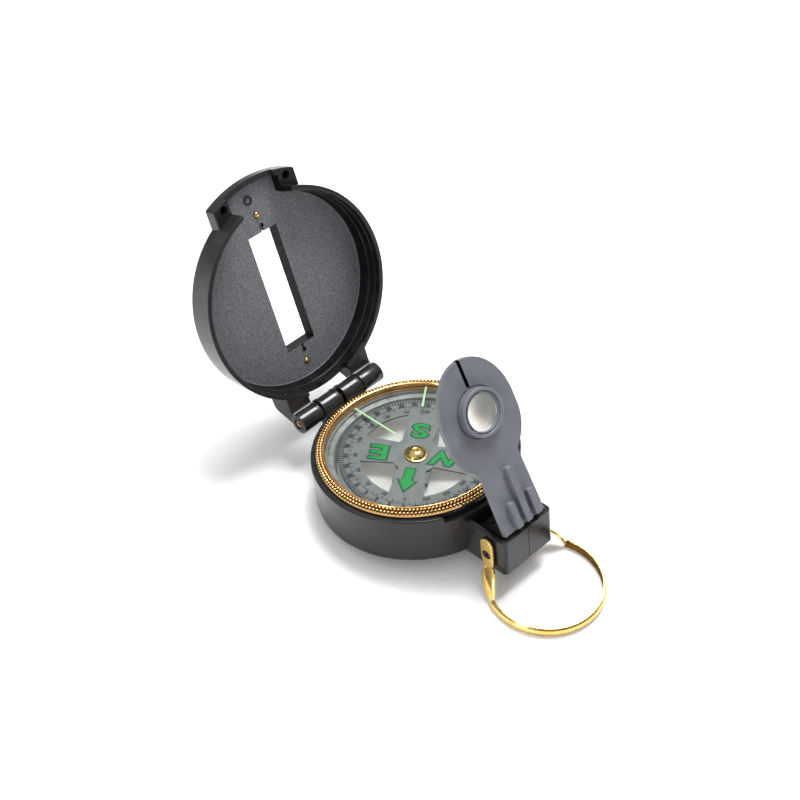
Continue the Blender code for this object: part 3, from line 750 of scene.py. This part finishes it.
def make_dial(card_grey, black_ink, green, dark_green, brass):
    card = rough_piece("dial_card_printed", turned([
        (CARD_HOLE, CARD_BOTTOM), (CARD_RADIUS, CARD_BOTTOM), (CARD_RADIUS, CARD_TOP - 0.05),
        (CARD_RADIUS - 0.05, CARD_TOP), (CARD_HOLE, CARD_TOP),
    ], 144))
    for quarter in range(4):
        carve(card, prism(window_outline(45 + 90 * quarter), -3.0, 3.0))
    finish_piece(card, "dial", card_grey, ["dial_card"], DIAL_PLACE)

    marks = []
    for degree in range(0, 360, 5):
        inner = 16.9 if degree % 10 else 16.6
        marks.append(tick(degree, inner, DEGREE_RIM, 0.22))
    for step in range(MIL_TICKS):
        inner, width = (18.9, 0.38) if step % 5 else (17.9, 0.50)
        marks.append(tick(step * 360 / MIL_TICKS, inner, MIL_RIM, width))
    marks.append(rim_line(MIL_RIM - 0.03, MIL_RIM + 0.17))
    marks.append(rim_line(DEGREE_RIM + 0.02, DEGREE_RIM + 0.14))
    for degree in range(0, 360, 20):
        marks.append(lettering(str(degree), 1.35, around_dial(degree, DEGREE_NUMBERS), -degree, 0.08))
    for hundred in range(0, 64, 2):
        angle = hundred * 360 / 64
        marks.append(lettering(str(hundred), 1.75, around_dial(angle, MIL_NUMBERS), -angle, 0.11))
    print_piece = rough_piece("dial_scales", joined(marks))
    finish_piece(print_piece, "dial", black_ink, (), DIAL_PLACE)

    letters = (("S", (0.3, -8.9), 1.45), ("E", (9.5, 0.5), 1.5), ("W", (-8.8, 0.0), 1.35))
    for name, weight, inset, lift, look in (("dial_letter_edges", 0.50, 0.0, 0.0, dark_green),
                                            ("dial_letters", 0.14, 0.40, 0.05, green)):
        shapes = [lettering(text, LETTER_SIZE, where, 0.0, weight, lift, stretch)
                  for text, where, stretch in letters]
        shapes.append(spun(arrow(inset, CARD_TOP + lift), ARROW_TURN))
        finish_piece(rough_piece(name, joined(shapes)), "dial", look, (), DIAL_PLACE)

    dome = fillet([
        (0.0, 0.25), (0.9, -0.9), (1.2, -1.3), (2.1, -1.3), (2.1, -0.2), (3.0, -0.2), (3.05, 0.0),
        (2.85, 0.06), (2.65, 0.1), (2.35, 0.6), (1.65, 1.12), (0.9, 1.4), (0.58, 1.3), (0.5, 0.5),
        (0.0, 0.4),
    ], [0, 0.1, 0.1, 0.05, 0.05, 0.1, 0.1, 0.05, 0.1, 0.45, 0.5, 0.12, 0.05, 0.05, 0], 5)
    cap = rough_piece("dial_cap_dome", turned(dome, 64))
    finish_piece(cap, "dial_pivot", brass, ["dial_cap"], CAP_PLACE, 50.0)


def rim_line(inner, outer):
    return turned([(inner, CARD_TOP + 0.01), (outer, CARD_TOP + 0.01), (outer, CARD_TOP + 0.03),
                   (inner, CARD_TOP + 0.03)], 144)


def arrow(inset, bottom):
    """The north arrow, drawn smaller by inset for its bright middle."""
    half, head, tail, neck, tip = 1.5, 2.9, 4.9, 9.3, 14.0
    outline = [(half - inset, tail + inset), (half - inset, neck - inset * 0.2),
               (head - inset * 2.0, neck + inset), (0.0, tip - inset * 2.4),
               (-head + inset * 2.0, neck + inset), (-half + inset, neck - inset * 0.2),
               (-half + inset, tail + inset)]
    return prism(outline, bottom + 0.01, bottom + 0.04)


# ---- cover

COVER_CENTRE_Y = -2.2
COVER_RADIUS = 28.6
COVER_TAPER = 0.7
COVER_MOUTH = 16.2
COVER_BACK = 25.4
COVER_WALL = 1.6
COVER_ROOF = 1.5
SLOT_HALF_WIDTH = 4.7
SLOT_HALF_LENGTH = 17.2
SLOT_FRAME_BORDER = 1.8
SLOT_FRAME_RISE = 2.6
RIM_GAP = 2.3
WIRE_PIN_REACH = 22.2
LATCH_RADIUS = 32.7
LATCH_HALF_WIDTH = 13.5
LATCH_BOTTOM = 20.8
LATCH_HOLE_X = 10.4
LATCH_HOLE_Y = -31.2
LATCH_HOLE_RADIUS = 1.15
LATCH_POCKET_HALF_WIDTH = 7.9
COVER_KNUCKLE_RADIUS = 2.88


def make_cover(gloss, speckled, shade, black, brass, steel):
    centre = COVER_CENTRE_Y - COVER_AXIS.y
    mouth, top = COVER_MOUTH - COVER_AXIS.z, COVER_BACK - COVER_AXIS.z
    roof, inside, back = top - COVER_ROOF, COVER_RADIUS - COVER_WALL, COVER_RADIUS - COVER_TAPER
    profile = fillet([
        (0.0, top), (back, top), (COVER_RADIUS, mouth), (inside + 0.3, mouth),
        (inside + 0.2, mouth + 1.7), (inside - 0.05, mouth + 1.75), (inside - 0.2, mouth + 4.0),
        (inside - 0.45, mouth + 4.1), (inside - 0.6, roof), (0.0, roof),
    ], [0, 1.3, 0.35, 0.3, 0.12, 0.15, 0.12, 0.15, 0.4, 0], 6)
    shell = rough_piece("cover_shell", turned(profile, 180, (0.0, centre)))

    rim = back - 0.8
    half = math.degrees(math.asin(LATCH_HALF_WIDTH / LATCH_RADIUS))
    inner_half = math.degrees(math.asin(LATCH_HALF_WIDTH / rim))
    lug_front = arc((0, centre), LATCH_RADIUS, 270 - half, 270 + half, 28)
    lug_back = arc((0, centre), rim, 270 + inner_half, 270 - inner_half, 20)
    lug = rough_piece("lug", prism(lug_front + lug_back, LATCH_BOTTOM - COVER_AXIS.z, top - 0.4))
    soften(lug, 0.5, 3, 40.0)
    add(shell, shape_of(lug))

    # The pocket between the two latch bosses, and the gate that lets the bracket's neck through
    lug_bottom = LATCH_BOTTOM - COVER_AXIS.z
    pocket_front, pocket_back = LATCH_RADIUS - 1.5, inside - 2.0
    reach = math.degrees(math.asin(LATCH_POCKET_HALF_WIDTH / pocket_front))
    back_reach = math.degrees(math.asin(LATCH_POCKET_HALF_WIDTH / pocket_back))
    pocket = arc((0, centre), pocket_front, 270 - reach, 270 + reach, 18)
    pocket += arc((0, centre), pocket_back, 270 + back_reach, 270 - back_reach, 12)
    carve(shell, prism(pocket, lug_bottom - 6, roof))
    wall_gap = arc((0, centre), LATCH_RADIUS + 2, 270 - 15.5, 270 + 12.0, 12)
    wall_gap += arc((0, centre), pocket_back, 270 + 15.0, 270 - 19.0, 8)
    carve(shell, prism(wall_gap, lug_bottom - 6, lug_bottom + 1.3))

    # The raised frame round the slot, and the slot through it
    border_x, border_y = SLOT_HALF_WIDTH + SLOT_FRAME_BORDER, SLOT_HALF_LENGTH + SLOT_FRAME_BORDER
    border = fillet([(-border_x, centre - border_y), (border_x, centre - border_y),
                     (border_x, centre + border_y), (-border_x, centre + border_y)], 1.2, 5)
    slot_frame = rough_piece("slot_frame", prism(border, roof + 0.3, top + SLOT_FRAME_RISE))
    soften(slot_frame, 0.35, 3, 40.0)
    add(shell, shape_of(slot_frame))
    carve(shell, box((-SLOT_HALF_WIDTH, SLOT_HALF_WIDTH),
                     (centre - SLOT_HALF_LENGTH, centre + SLOT_HALF_LENGTH),
                     (roof - 2, top + SLOT_FRAME_RISE + 2)))
    hole_y = LATCH_HOLE_Y - COVER_AXIS.y
    for side in (-1, 1):
        carve(shell, disc(LATCH_HOLE_RADIUS, lug_bottom - 1, top - 1.6, 28, (side * LATCH_HOLE_X, hole_y)))
    soften(shell, 0.16, 2, 40.0)
    for side in (-1, 1):
        x_range = sorted((side * (KNUCKLE_SPLIT + KNUCKLE_PLAY), side * HINGE_HALF_LENGTH))
        leg = fillet([(-2.85, mouth + 0.1), (-1.2, mouth - 2.0), (1.4, 1.2), (0.6, 2.86), (-2.6, top - 1.7),
                      (-9.0, top - 1.2), (-9.0, mouth + 0.1)], [0.4, 0.8, 0.8, 1.6, 1.5, 0, 0], 4)
        limb = rough_piece("leg", along_x(leg, x_range[0] + 0.1, x_range[1] - 0.1))
        soften(limb, 0.35, 3, 40.0)
        carve(limb, disc(inside - 0.2, mouth - 4, roof + 0.2, 180, (0.0, centre)))
        add(shell, shape_of(limb))
    carve(shell, turned_x([(0.0, -16.0), (2.2, -16.0), (2.2, 16.0), (0.0, 16.0)], 40))
    carve(shell, box((-KNUCKLE_SPLIT, KNUCKLE_SPLIT), (-7.0, 1.0), (mouth - 1.0, mouth + RIM_GAP)))

    # Key-shaped wire channels beside the slot's ends, and a moulding mark by the lug
    details = []
    for side in (-1, 1):
        slot_end = centre + side * SLOT_HALF_LENGTH
        details.append(disc(0.72, roof - 1, roof + 1.0, 20, (0.35, slot_end + side * 1.7)))
        details.append(box((-0.1, 0.6), sorted((slot_end - side * 0.5, slot_end + side * 1.5)),
                           (roof - 1, roof + 1.0)))
        details.append(disc(0.95, roof - 1, roof + 0.8, 24, (0.0, centre + side * WIRE_PIN_REACH)))
    for detail in details:
        carve(shell, detail)
    ring_mark = rough_piece("ring_mark", turned([(0.8, roof - 0.3), (1.25, roof - 0.3), (1.25, roof + 0.3),
                                                 (0.8, roof + 0.3)], 28, (-1.2, hole_y + 2.2)))
    add(shell, shape_of(ring_mark))

    def reach_of(spot):
        return math.hypot(spot.x, spot.y - centre)

    # Matte grain on the roof's inside; painted deep shade on the wall's inside and the slot's long walls
    paint(shell, 1, lambda spot, facing: facing.z < -0.6 and spot.z > roof - 0.1
          and reach_of(spot) < inside + 4)
    paint(shell, 2, lambda spot, facing: facing.z > -0.6 and inside - 1.0 < reach_of(spot) < inside + 0.6
          and mouth + 0.3 < spot.z < roof and facing.x * spot.x + facing.y * (spot.y - centre) < 0)
    paint(shell, 2, lambda spot, facing: abs(spot.x) < SLOT_HALF_WIDTH + 0.05 and abs(facing.x) > 0.9
          and abs(spot.y - centre) < SLOT_HALF_LENGTH + 0.05)
    finish_piece(shell, "cover_body", [gloss, speckled, shade], ["cover"], COVER_PLACE,
                 flats=True)

    for side, name in ((-1, "cover_knuckle_left"), (1, "cover_knuckle_right")):
        x_range = sorted((side * (KNUCKLE_SPLIT + KNUCKLE_PLAY), side * HINGE_HALF_LENGTH))
        rims = (False, True) if side < 0 else (True, False)
        barrel = rough_piece(name, knuckle(COVER_KNUCKLE_RADIUS, *x_range, rims))
        finish_piece(barrel, "cover_body", black, (), COVER_PLACE)

    for side, place in ((-1, "upper"), (1, "lower")):
        head = turned([(0.0, roof - 0.55), (0.3, roof - 0.55), (0.62, roof - 0.42), (0.8, roof - 0.15),
                       (0.8, roof + 0.55), (0.0, roof + 0.55)], 28, (0.0, centre + side * WIRE_PIN_REACH))
        finish_piece(rough_piece(f"wire_rivet_{place}", head), "cover_body", brass,
                     [f"wire_pin_{place}"], COVER_PLACE)
    reach = WIRE_PIN_REACH - 0.9
    strand = prism(arc((0.0, roof - 0.25), 0.035, 0, 315, 7), centre - reach, centre + reach)
    for corner in strand.verts:
        x, z, y = corner.co
        corner.co = (x, y, z)
    finish_piece(rough_piece("sight_hair", strand), "cover_body", steel, ["sight_wire"],
                 COVER_PLACE)


# ---- lens bracket

BRACKET_FACE = 8.35
BRACKET_PLATE = 1.4
BRACKET_FOOT = -0.8
BRACKET_NECK_HALF_WIDTH = 6.9
BRACKET_SHOULDER_Y = 27.0
BRACKET_HEAD_Y = 30.2
BRACKET_HEAD_RADIUS = 11.6
BRACKET_HEAD_RISE = 14.8
NOTCH_HALF_WIDTH = 0.5
NOTCH_Y = 37.6
LENS_Y = 31.0
LENS_RADIUS = 5.1
LENS_BOSS_RADIUS = 6.2
LENS_BOSS_HEIGHT = 2.1
RIBS = ((-2.5, 7.0), (0.9, 15.2), (4.3, 7.0))  # place across the neck, and length
RIB_HALF_WIDTH = 0.95
RIB_HEIGHT = 1.5


def make_bracket(grey, shade, glass):
    back, foot, neck = BRACKET_FACE - BRACKET_PLATE, BRACKET_FOOT, BRACKET_NECK_HALF_WIDTH
    shoulder = math.degrees(math.acos((neck - 0.4) / BRACKET_HEAD_RADIUS))
    outline = [(-neck, foot), (neck, foot)]
    outline += arc((0, BRACKET_SHOULDER_Y), (BRACKET_HEAD_RADIUS, 12.0), -shoulder, 0, 12)
    outline += arc((0, BRACKET_HEAD_Y), (BRACKET_HEAD_RADIUS, BRACKET_HEAD_RISE), 0, 180, 56)
    outline += arc((0, BRACKET_SHOULDER_Y), (BRACKET_HEAD_RADIUS, 12.0), 180, 180 + shoulder, 12)
    plate = rough_piece("bracket_plate", prism(outline, back, BRACKET_FACE))
    hub = arc((0, 0), 2.0, 180, 360, 14)
    for side in (-1, 1):
        cheek = fillet(hub + [(2.1, 3.6), (3.2, back + 0.2), (foot, back + 0.2)],
                       [0] * len(hub) + [0.8, 0.2, 0], 4)
        add(plate, along_x(cheek, *sorted((side * (neck - 1.5), side * neck))))
    add(plate, turned_x([(0.0, -7.85), (1.0, -7.85), (1.0, 7.85), (0.0, 7.85)], 28))
    add(plate, turned_x([(0.0, -6.7), (1.7, -6.7), (1.7, 6.7), (0.0, 6.7)], 32))
    carve(plate, box((-NOTCH_HALF_WIDTH, NOTCH_HALF_WIDTH), (NOTCH_Y, NOTCH_Y + 8.6),
                     (back + 0.3, BRACKET_FACE + 1)))
    top = BRACKET_FACE + LENS_BOSS_HEIGHT
    edge = LENS_BOSS_RADIUS
    boss = fillet([(LENS_RADIUS, back + 0.3), (edge, back + 0.3), (edge, top),
                   (LENS_RADIUS + 0.35, top), (LENS_RADIUS + 0.1, top - 0.55), (LENS_RADIUS, top - 0.6)],
                  [0, 0, 0.5, 0.15, 0.1, 0], 5)
    carve(plate, disc(LENS_RADIUS + 0.4, back - 1, BRACKET_FACE + 1, 64, (0, LENS_Y)))
    soften(plate, 0.22, 3, 40.0)
    groove = turned([(edge - 0.1, BRACKET_FACE - 0.35), (edge + 0.42, BRACKET_FACE - 0.35),
                     (edge + 0.55, BRACKET_FACE + 1), (edge - 0.1, BRACKET_FACE + 1)], 96, (0, LENS_Y))
    carve(plate, groove)
    add(plate, turned(boss, 96, (0, LENS_Y)))
    ribs = []
    for x, length in RIBS:
        left, right, end = x - RIB_HALF_WIDTH, x + RIB_HALF_WIDTH, foot + 0.6 + length
        rib_outline = fillet([(left, foot + 0.35), (right, foot + 0.35), (right, end), (left, end)],
                             [0.3, 0.3, 0.7, 0.7], 5)
        rib = rough_piece("rib", prism(rib_outline, BRACKET_FACE - 0.3, BRACKET_FACE + RIB_HEIGHT))
        ribs.append(soften(rib, 0.38, 4, 40.0))
    for rib in ribs:
        add(plate, shape_of(rib))
    # The cheeks and the notch lie in shade, so they get painted shade
    paint(plate, 1, lambda spot, facing: spot.z < back - 0.25)
    paint(plate, 1, lambda spot, facing: abs(spot.x) < NOTCH_HALF_WIDTH + 0.1 and spot.y > NOTCH_Y - 0.2
          and spot.z < BRACKET_FACE - 0.2 and (abs(facing.x) > 0.9 or facing.z > 0.5))
    finish_piece(plate, "bracket", [grey, shade], ["lens_bracket"], BRACKET_PLACE,
                 flats=True)

    lens = moved(turned([
        (0.0, back + 0.5), (2.2, back + 0.58), (LENS_RADIUS - 0.12, back + 0.9),
        (LENS_RADIUS - 0.12, back + 2.1),
    ] + [(r, back + 3.0 - 0.8 * (r / 4.8) ** 2) for r in (4.7, 4.1, 3.5, 2.9, 2.3, 1.7, 1.1, 0.5)]
        + [(0.0, back + 3.0)], 72), (0, LENS_Y, 0))
    finish_piece(rough_piece("lens_crystal", lens), "bracket", glass, ["lens"],
                 BRACKET_PLACE, 60.0)
    ring = fillet([(LENS_RADIUS - 0.55, back + 2.6), (LENS_RADIUS - 0.1, back + 2.5),
                   (LENS_RADIUS - 0.1, back + 3.3), (LENS_RADIUS - 0.35, back + 3.3)], 0.1, 3)
    keeper = rough_piece("lens_keeper", turned(ring, 72, (0, LENS_Y)))
    finish_piece(keeper, "bracket", grey, ["lens_ring"], BRACKET_PLACE)


# ---- thumb loop

LOOP_EAR_X = 9.45
LOOP_HOLE_RADIUS = 1.35
LOOP_RING_RADIUS = 14.55
LOOP_RING_Y = -44.6
LOOP_RING_Z = -6.45
LOOP_RING_HALF_HEIGHT = 1.35
LOOP_RING_BOW = 0.62
LOOP_KNEE_X = 13.6


def make_thumb_loop(brass, shaded_brass):
    """Flat ears with a hole, a twisted waist, and a half-round ring open towards its middle."""
    lean = math.tan(math.radians(TABLE_LEAN))
    knee_y = LOOP_RING_Y + math.sqrt(LOOP_RING_RADIUS**2 - LOOP_KNEE_X**2)
    stations = []

    def station(place, width, half, bow, thick=0.32):
        stations.append((Vector(place), Vector(width).normalized(), half, bow, thick))

    for drop, half in ((-4.9, 0.8), (-4.7, 1.35), (-4.3, 1.8), (-3.6, 2.05), (-1.6, 2.1), (0.0, 2.1),
                       (1.6, 2.05), (2.9, 1.85), (3.7, 1.55), (4.3, 1.4)):
        station((LOOP_EAR_X, LOOP_AXIS.y - 0.02 * (drop + 4.9), LOOP_AXIS.z - drop), (0, 1, 0), half, 0.0)
    start = Vector((LOOP_EAR_X + 0.25, LOOP_AXIS.y - 0.35, LOOP_AXIS.z - 4.75))
    bend_y = knee_y + 0.55
    knee = Vector((LOOP_KNEE_X - 0.1, bend_y, LOOP_RING_Z + (bend_y - LOOP_RING_Y) * lean + 0.35))
    for t, half in ((0.0, 1.6), (0.12, 1.9), (0.35, 2.0), (0.6, 1.75), (0.8, 1.35), (0.93, 0.9), (1.0, 0.75)):
        place = start.lerp(knee, t) + Vector((0.3, 0.0, 0.0)) * math.sin(math.pi * t)
        width = Vector((0, 1.0, -0.1)).lerp(Vector((0.25, 0.75, -0.6)), t)
        station(place, width, half, 0.45 * math.sin(math.pi * min(1.0, t + 0.1)))
    begin = math.degrees(math.acos(LOOP_KNEE_X / LOOP_RING_RADIUS))
    for x, y in arc((0, LOOP_RING_Y), LOOP_RING_RADIUS, begin, -90, 48):
        place = (x, y, LOOP_RING_Z + (y - LOOP_RING_Y) * lean)
        station(place, (0, lean, -1.0), LOOP_RING_HALF_HEIGHT, LOOP_RING_BOW, 0.27)
    stations += [(Vector((-p.x, p.y, p.z)), Vector((-w.x, w.y, w.z)), half, bow, thick)
                 for p, w, half, bow, thick in reversed(stations[:-1])]

    across = 9
    shape = bmesh.new()
    rows = []
    for index, (place, width, half, bow, thick) in enumerate(stations):
        before, after = stations[max(index - 1, 0)][0], stations[min(index + 1, len(stations) - 1)][0]
        forward = (after - before).normalized()
        width = (width - forward * width.dot(forward)).normalized()
        outward = forward.cross(width).normalized()
        outer_row, inner_row = [], []
        for k in range(across):
            share = -1 + 2 * k / (across - 1)
            lift = bow * math.sqrt(max(0.0, 1 - (share * 0.97) ** 2))
            spot = place + width * (half * share) + outward * lift
            edge = 1.0 - 0.35 * abs(share) ** 6
            outer_row.append(shape.verts.new(spot + outward * thick * edge))
            inner_row.append(shape.verts.new(spot - outward * thick * edge))
        rows.append(outer_row + inner_row[::-1])
    for index, (a, b) in enumerate(zip(rows, rows[1:])):
        hollow = stations[index][3] > 0.5 and stations[index + 1][3] > 0.5
        for k in range(len(a)):
            face = shape.faces.new((a[k], a[(k + 1) % len(a)], b[(k + 1) % len(a)], b[k]))
            # Painted shade: the inside of the ring's hollow channel gets the darker shaded brass.
            face.material_index = 1 if hollow and across <= k < 2 * across - 1 else 0
    shape.faces.new(rows[0])
    shape.faces.new(rows[-1])
    bmesh.ops.triangulate(shape, faces=shape.faces)
    loop = rough_piece("thumb_loop_strip", shape)
    for side in (-1, 1):
        hole = turned_x([(0.0, -1.5), (LOOP_HOLE_RADIUS, -1.5), (LOOP_HOLE_RADIUS, 1.5), (0.0, 1.5)], 28,
                        LOOP_AXIS.y, LOOP_AXIS.z)
        carve(loop, moved(hole, (side * LOOP_EAR_X, 0, 0)))
    finish_piece(loop, "loop", [brass, shaded_brass], ["thumb_loop"], crease=42.0)


# ---- camera, light and floor

CAMERA_AZIMUTH = -39.68
CAMERA_ELEVATION = 40.74
CAMERA_ROLL = -6.77
CAMERA_FOCUS = Vector((0.0, 0.0, 10.0))
CAMERA_OFFSET = Vector((-4.29, 15.22))
CAMERA_DISTANCE = 420.0
CAMERA_LENS = 72.2
FLOOR_REACH = 12.0


def make_camera():
    """Looks down at the compass from its front left, a little rolled."""
    azimuth, elevation, roll = (
        math.radians(angle) for angle in (CAMERA_AZIMUTH, CAMERA_ELEVATION, CAMERA_ROLL))
    across = Vector((math.cos(azimuth), math.sin(azimuth), 0.0))
    back = Vector((math.sin(azimuth) * math.cos(elevation), -math.cos(azimuth) * math.cos(elevation),
                   math.sin(elevation)))
    up = back.cross(across)
    right = math.cos(roll) * across + math.sin(roll) * up
    rise = -math.sin(roll) * across + math.cos(roll) * up
    aim = CAMERA_FOCUS + right * CAMERA_OFFSET.x + rise * CAMERA_OFFSET.y
    eye = (aim + back * CAMERA_DISTANCE) * MM
    data = bpy.data.cameras.new("camera")
    data.sensor_width = 36.0
    data.lens = CAMERA_LENS
    data.clip_start = 0.01
    camera = new_object("camera", data)
    camera.matrix_world = Matrix((
        (right.x, rise.x, back.x, eye.x), (right.y, rise.y, back.y, eye.y),
        (right.z, rise.z, back.z, eye.z), (0, 0, 0, 1)))
    bpy.context.scene.camera = camera


def area_light(name, place, size, power, target=(0.0, 0.0, 0.02)):
    data = bpy.data.lights.new(name, "AREA")
    data.shape = "RECTANGLE"
    data.size, data.size_y = size
    data.energy = power
    light = new_object(name, data)
    light.location = place
    light.rotation_euler = (Vector(target) - Vector(place)).to_track_quat("-Z", "Y").to_euler()


def make_studio():
    """A pale floor, leaning like the table under the tipped compass, and soft white light."""
    lean = math.tan(math.radians(TABLE_LEAN))
    edge_y, gap = CASE_HIGH.x * MM, 0.0001
    shape = bmesh.new()
    spots = [(-FLOOR_REACH, -FLOOR_REACH), (FLOOR_REACH, -FLOOR_REACH),
             (FLOOR_REACH, FLOOR_REACH), (-FLOOR_REACH, FLOOR_REACH)]
    shape.faces.new([shape.verts.new((x, y, (y - edge_y) * lean - gap)) for x, y in spots])
    mesh = bpy.data.meshes.new("floor")
    shape.to_mesh(mesh)
    shape.free()
    floor = new_object("floor", mesh)
    look = Look("floor_white", (0.93, 0.93, 0.93), 0.8)
    look.colours(200.0, (0.92, 0.92, 0.92), (0.94, 0.94, 0.94))
    mesh.materials.append(look.material)

    world = bpy.data.worlds.new("studio")
    world.use_nodes = True
    nodes, links = world.node_tree.nodes, world.node_tree.links
    height = nodes.new("ShaderNodeSeparateXYZ")
    links.new(nodes.new("ShaderNodeTexCoord").outputs["Generated"], height.inputs["Vector"])
    shade = nodes.new("ShaderNodeValToRGB")
    low, high = shade.color_ramp.elements
    low.position, low.color = 0.05, (0.10, 0.10, 0.105, 1.0)
    high.position, high.color = 0.75, (1.0, 1.0, 1.0, 1.0)
    links.new(height.outputs["Z"], shade.inputs["Fac"])
    links.new(shade.outputs["Color"], nodes["Background"].inputs["Color"])
    nodes["Background"].inputs["Strength"].default_value = 0.85
    bpy.context.scene.world = world
    bpy.context.scene.view_settings.view_transform = "Standard"
    area_light("key", (0.28, 0.02, 0.8), (0.4, 0.4), 10.0)
    area_light("side", (-0.75, -0.15, 0.3), (0.2, 0.6), 2.0)


# ---- assembly

def make_compass():
    gloss, black, speckled, grey = case_look(), knuckle_look(), speckled_look(), bracket_look()
    card, shade = card_look(), inner_wall_look()
    brass = gold_look("brass_polished", (0.70, 0.45, 0.12), (0.80, 0.57, 0.20), 0.14, 0.26)
    copper = gold_look("copper_pin", (0.55, 0.28, 0.14), (0.66, 0.36, 0.18), 0.22, 0.4)
    gold = gold_look("gold_knurl", (0.96, 0.62, 0.22), (1.0, 0.76, 0.38), 0.14, 0.24)
    lip_gold = gold_look("gold_lip", (0.86, 0.50, 0.18), (0.92, 0.58, 0.26), 0.06, 0.14)
    steel = steel_look()
    clear = clear_look("crystal_clear", (0.97, 0.98, 0.98), 0.02)
    luminous = luminous_look()
    black_ink = ink_look("scale_ink", (0.035, 0.035, 0.038), (0.07, 0.07, 0.075), 0.6)
    green = ink_look("letter_green", (0.004, 0.230, 0.038), (0.006, 0.270, 0.049), 0.5)
    dark_green = ink_look("letter_edge", (0.008, 0.06, 0.03), (0.015, 0.09, 0.045), 0.5)
    make_case(gloss, shade, black)
    make_loop_pegs(black)
    make_hinge_pin(copper)
    make_capsule(dish_look(), ledge_look(), luminous)
    groove_shade_gold = gold_look("gold_groove_painted_shade", (0.09, 0.030, 0.007), (0.15, 0.052, 0.012), 0.3, 0.5)
    make_bezel(gold, lip_gold, groove_shade_gold, luminous)
    make_dial(card, black_ink, green, dark_green, brass)
    make_cover(gloss, speckled, shade, black, brass, steel)
    make_bracket(grey, shade, lens_look())
    make_thumb_loop(brass, gold_look("brass_shaded", (0.12, 0.055, 0.013), (0.19, 0.10, 0.028), 0.4, 0.55))
    for names, look in ((("inner_crystal", "bezel_crystal"), clear),
                        (("pivot_needle", "bezel_washer"), steel), (("magnet_left", "magnet_right"), card)):
        for name in names:
            node = frame["nodes"][name]
            node.data.materials.clear()
            node.data.materials.append(look)


make_compass()
make_camera()
make_studio()
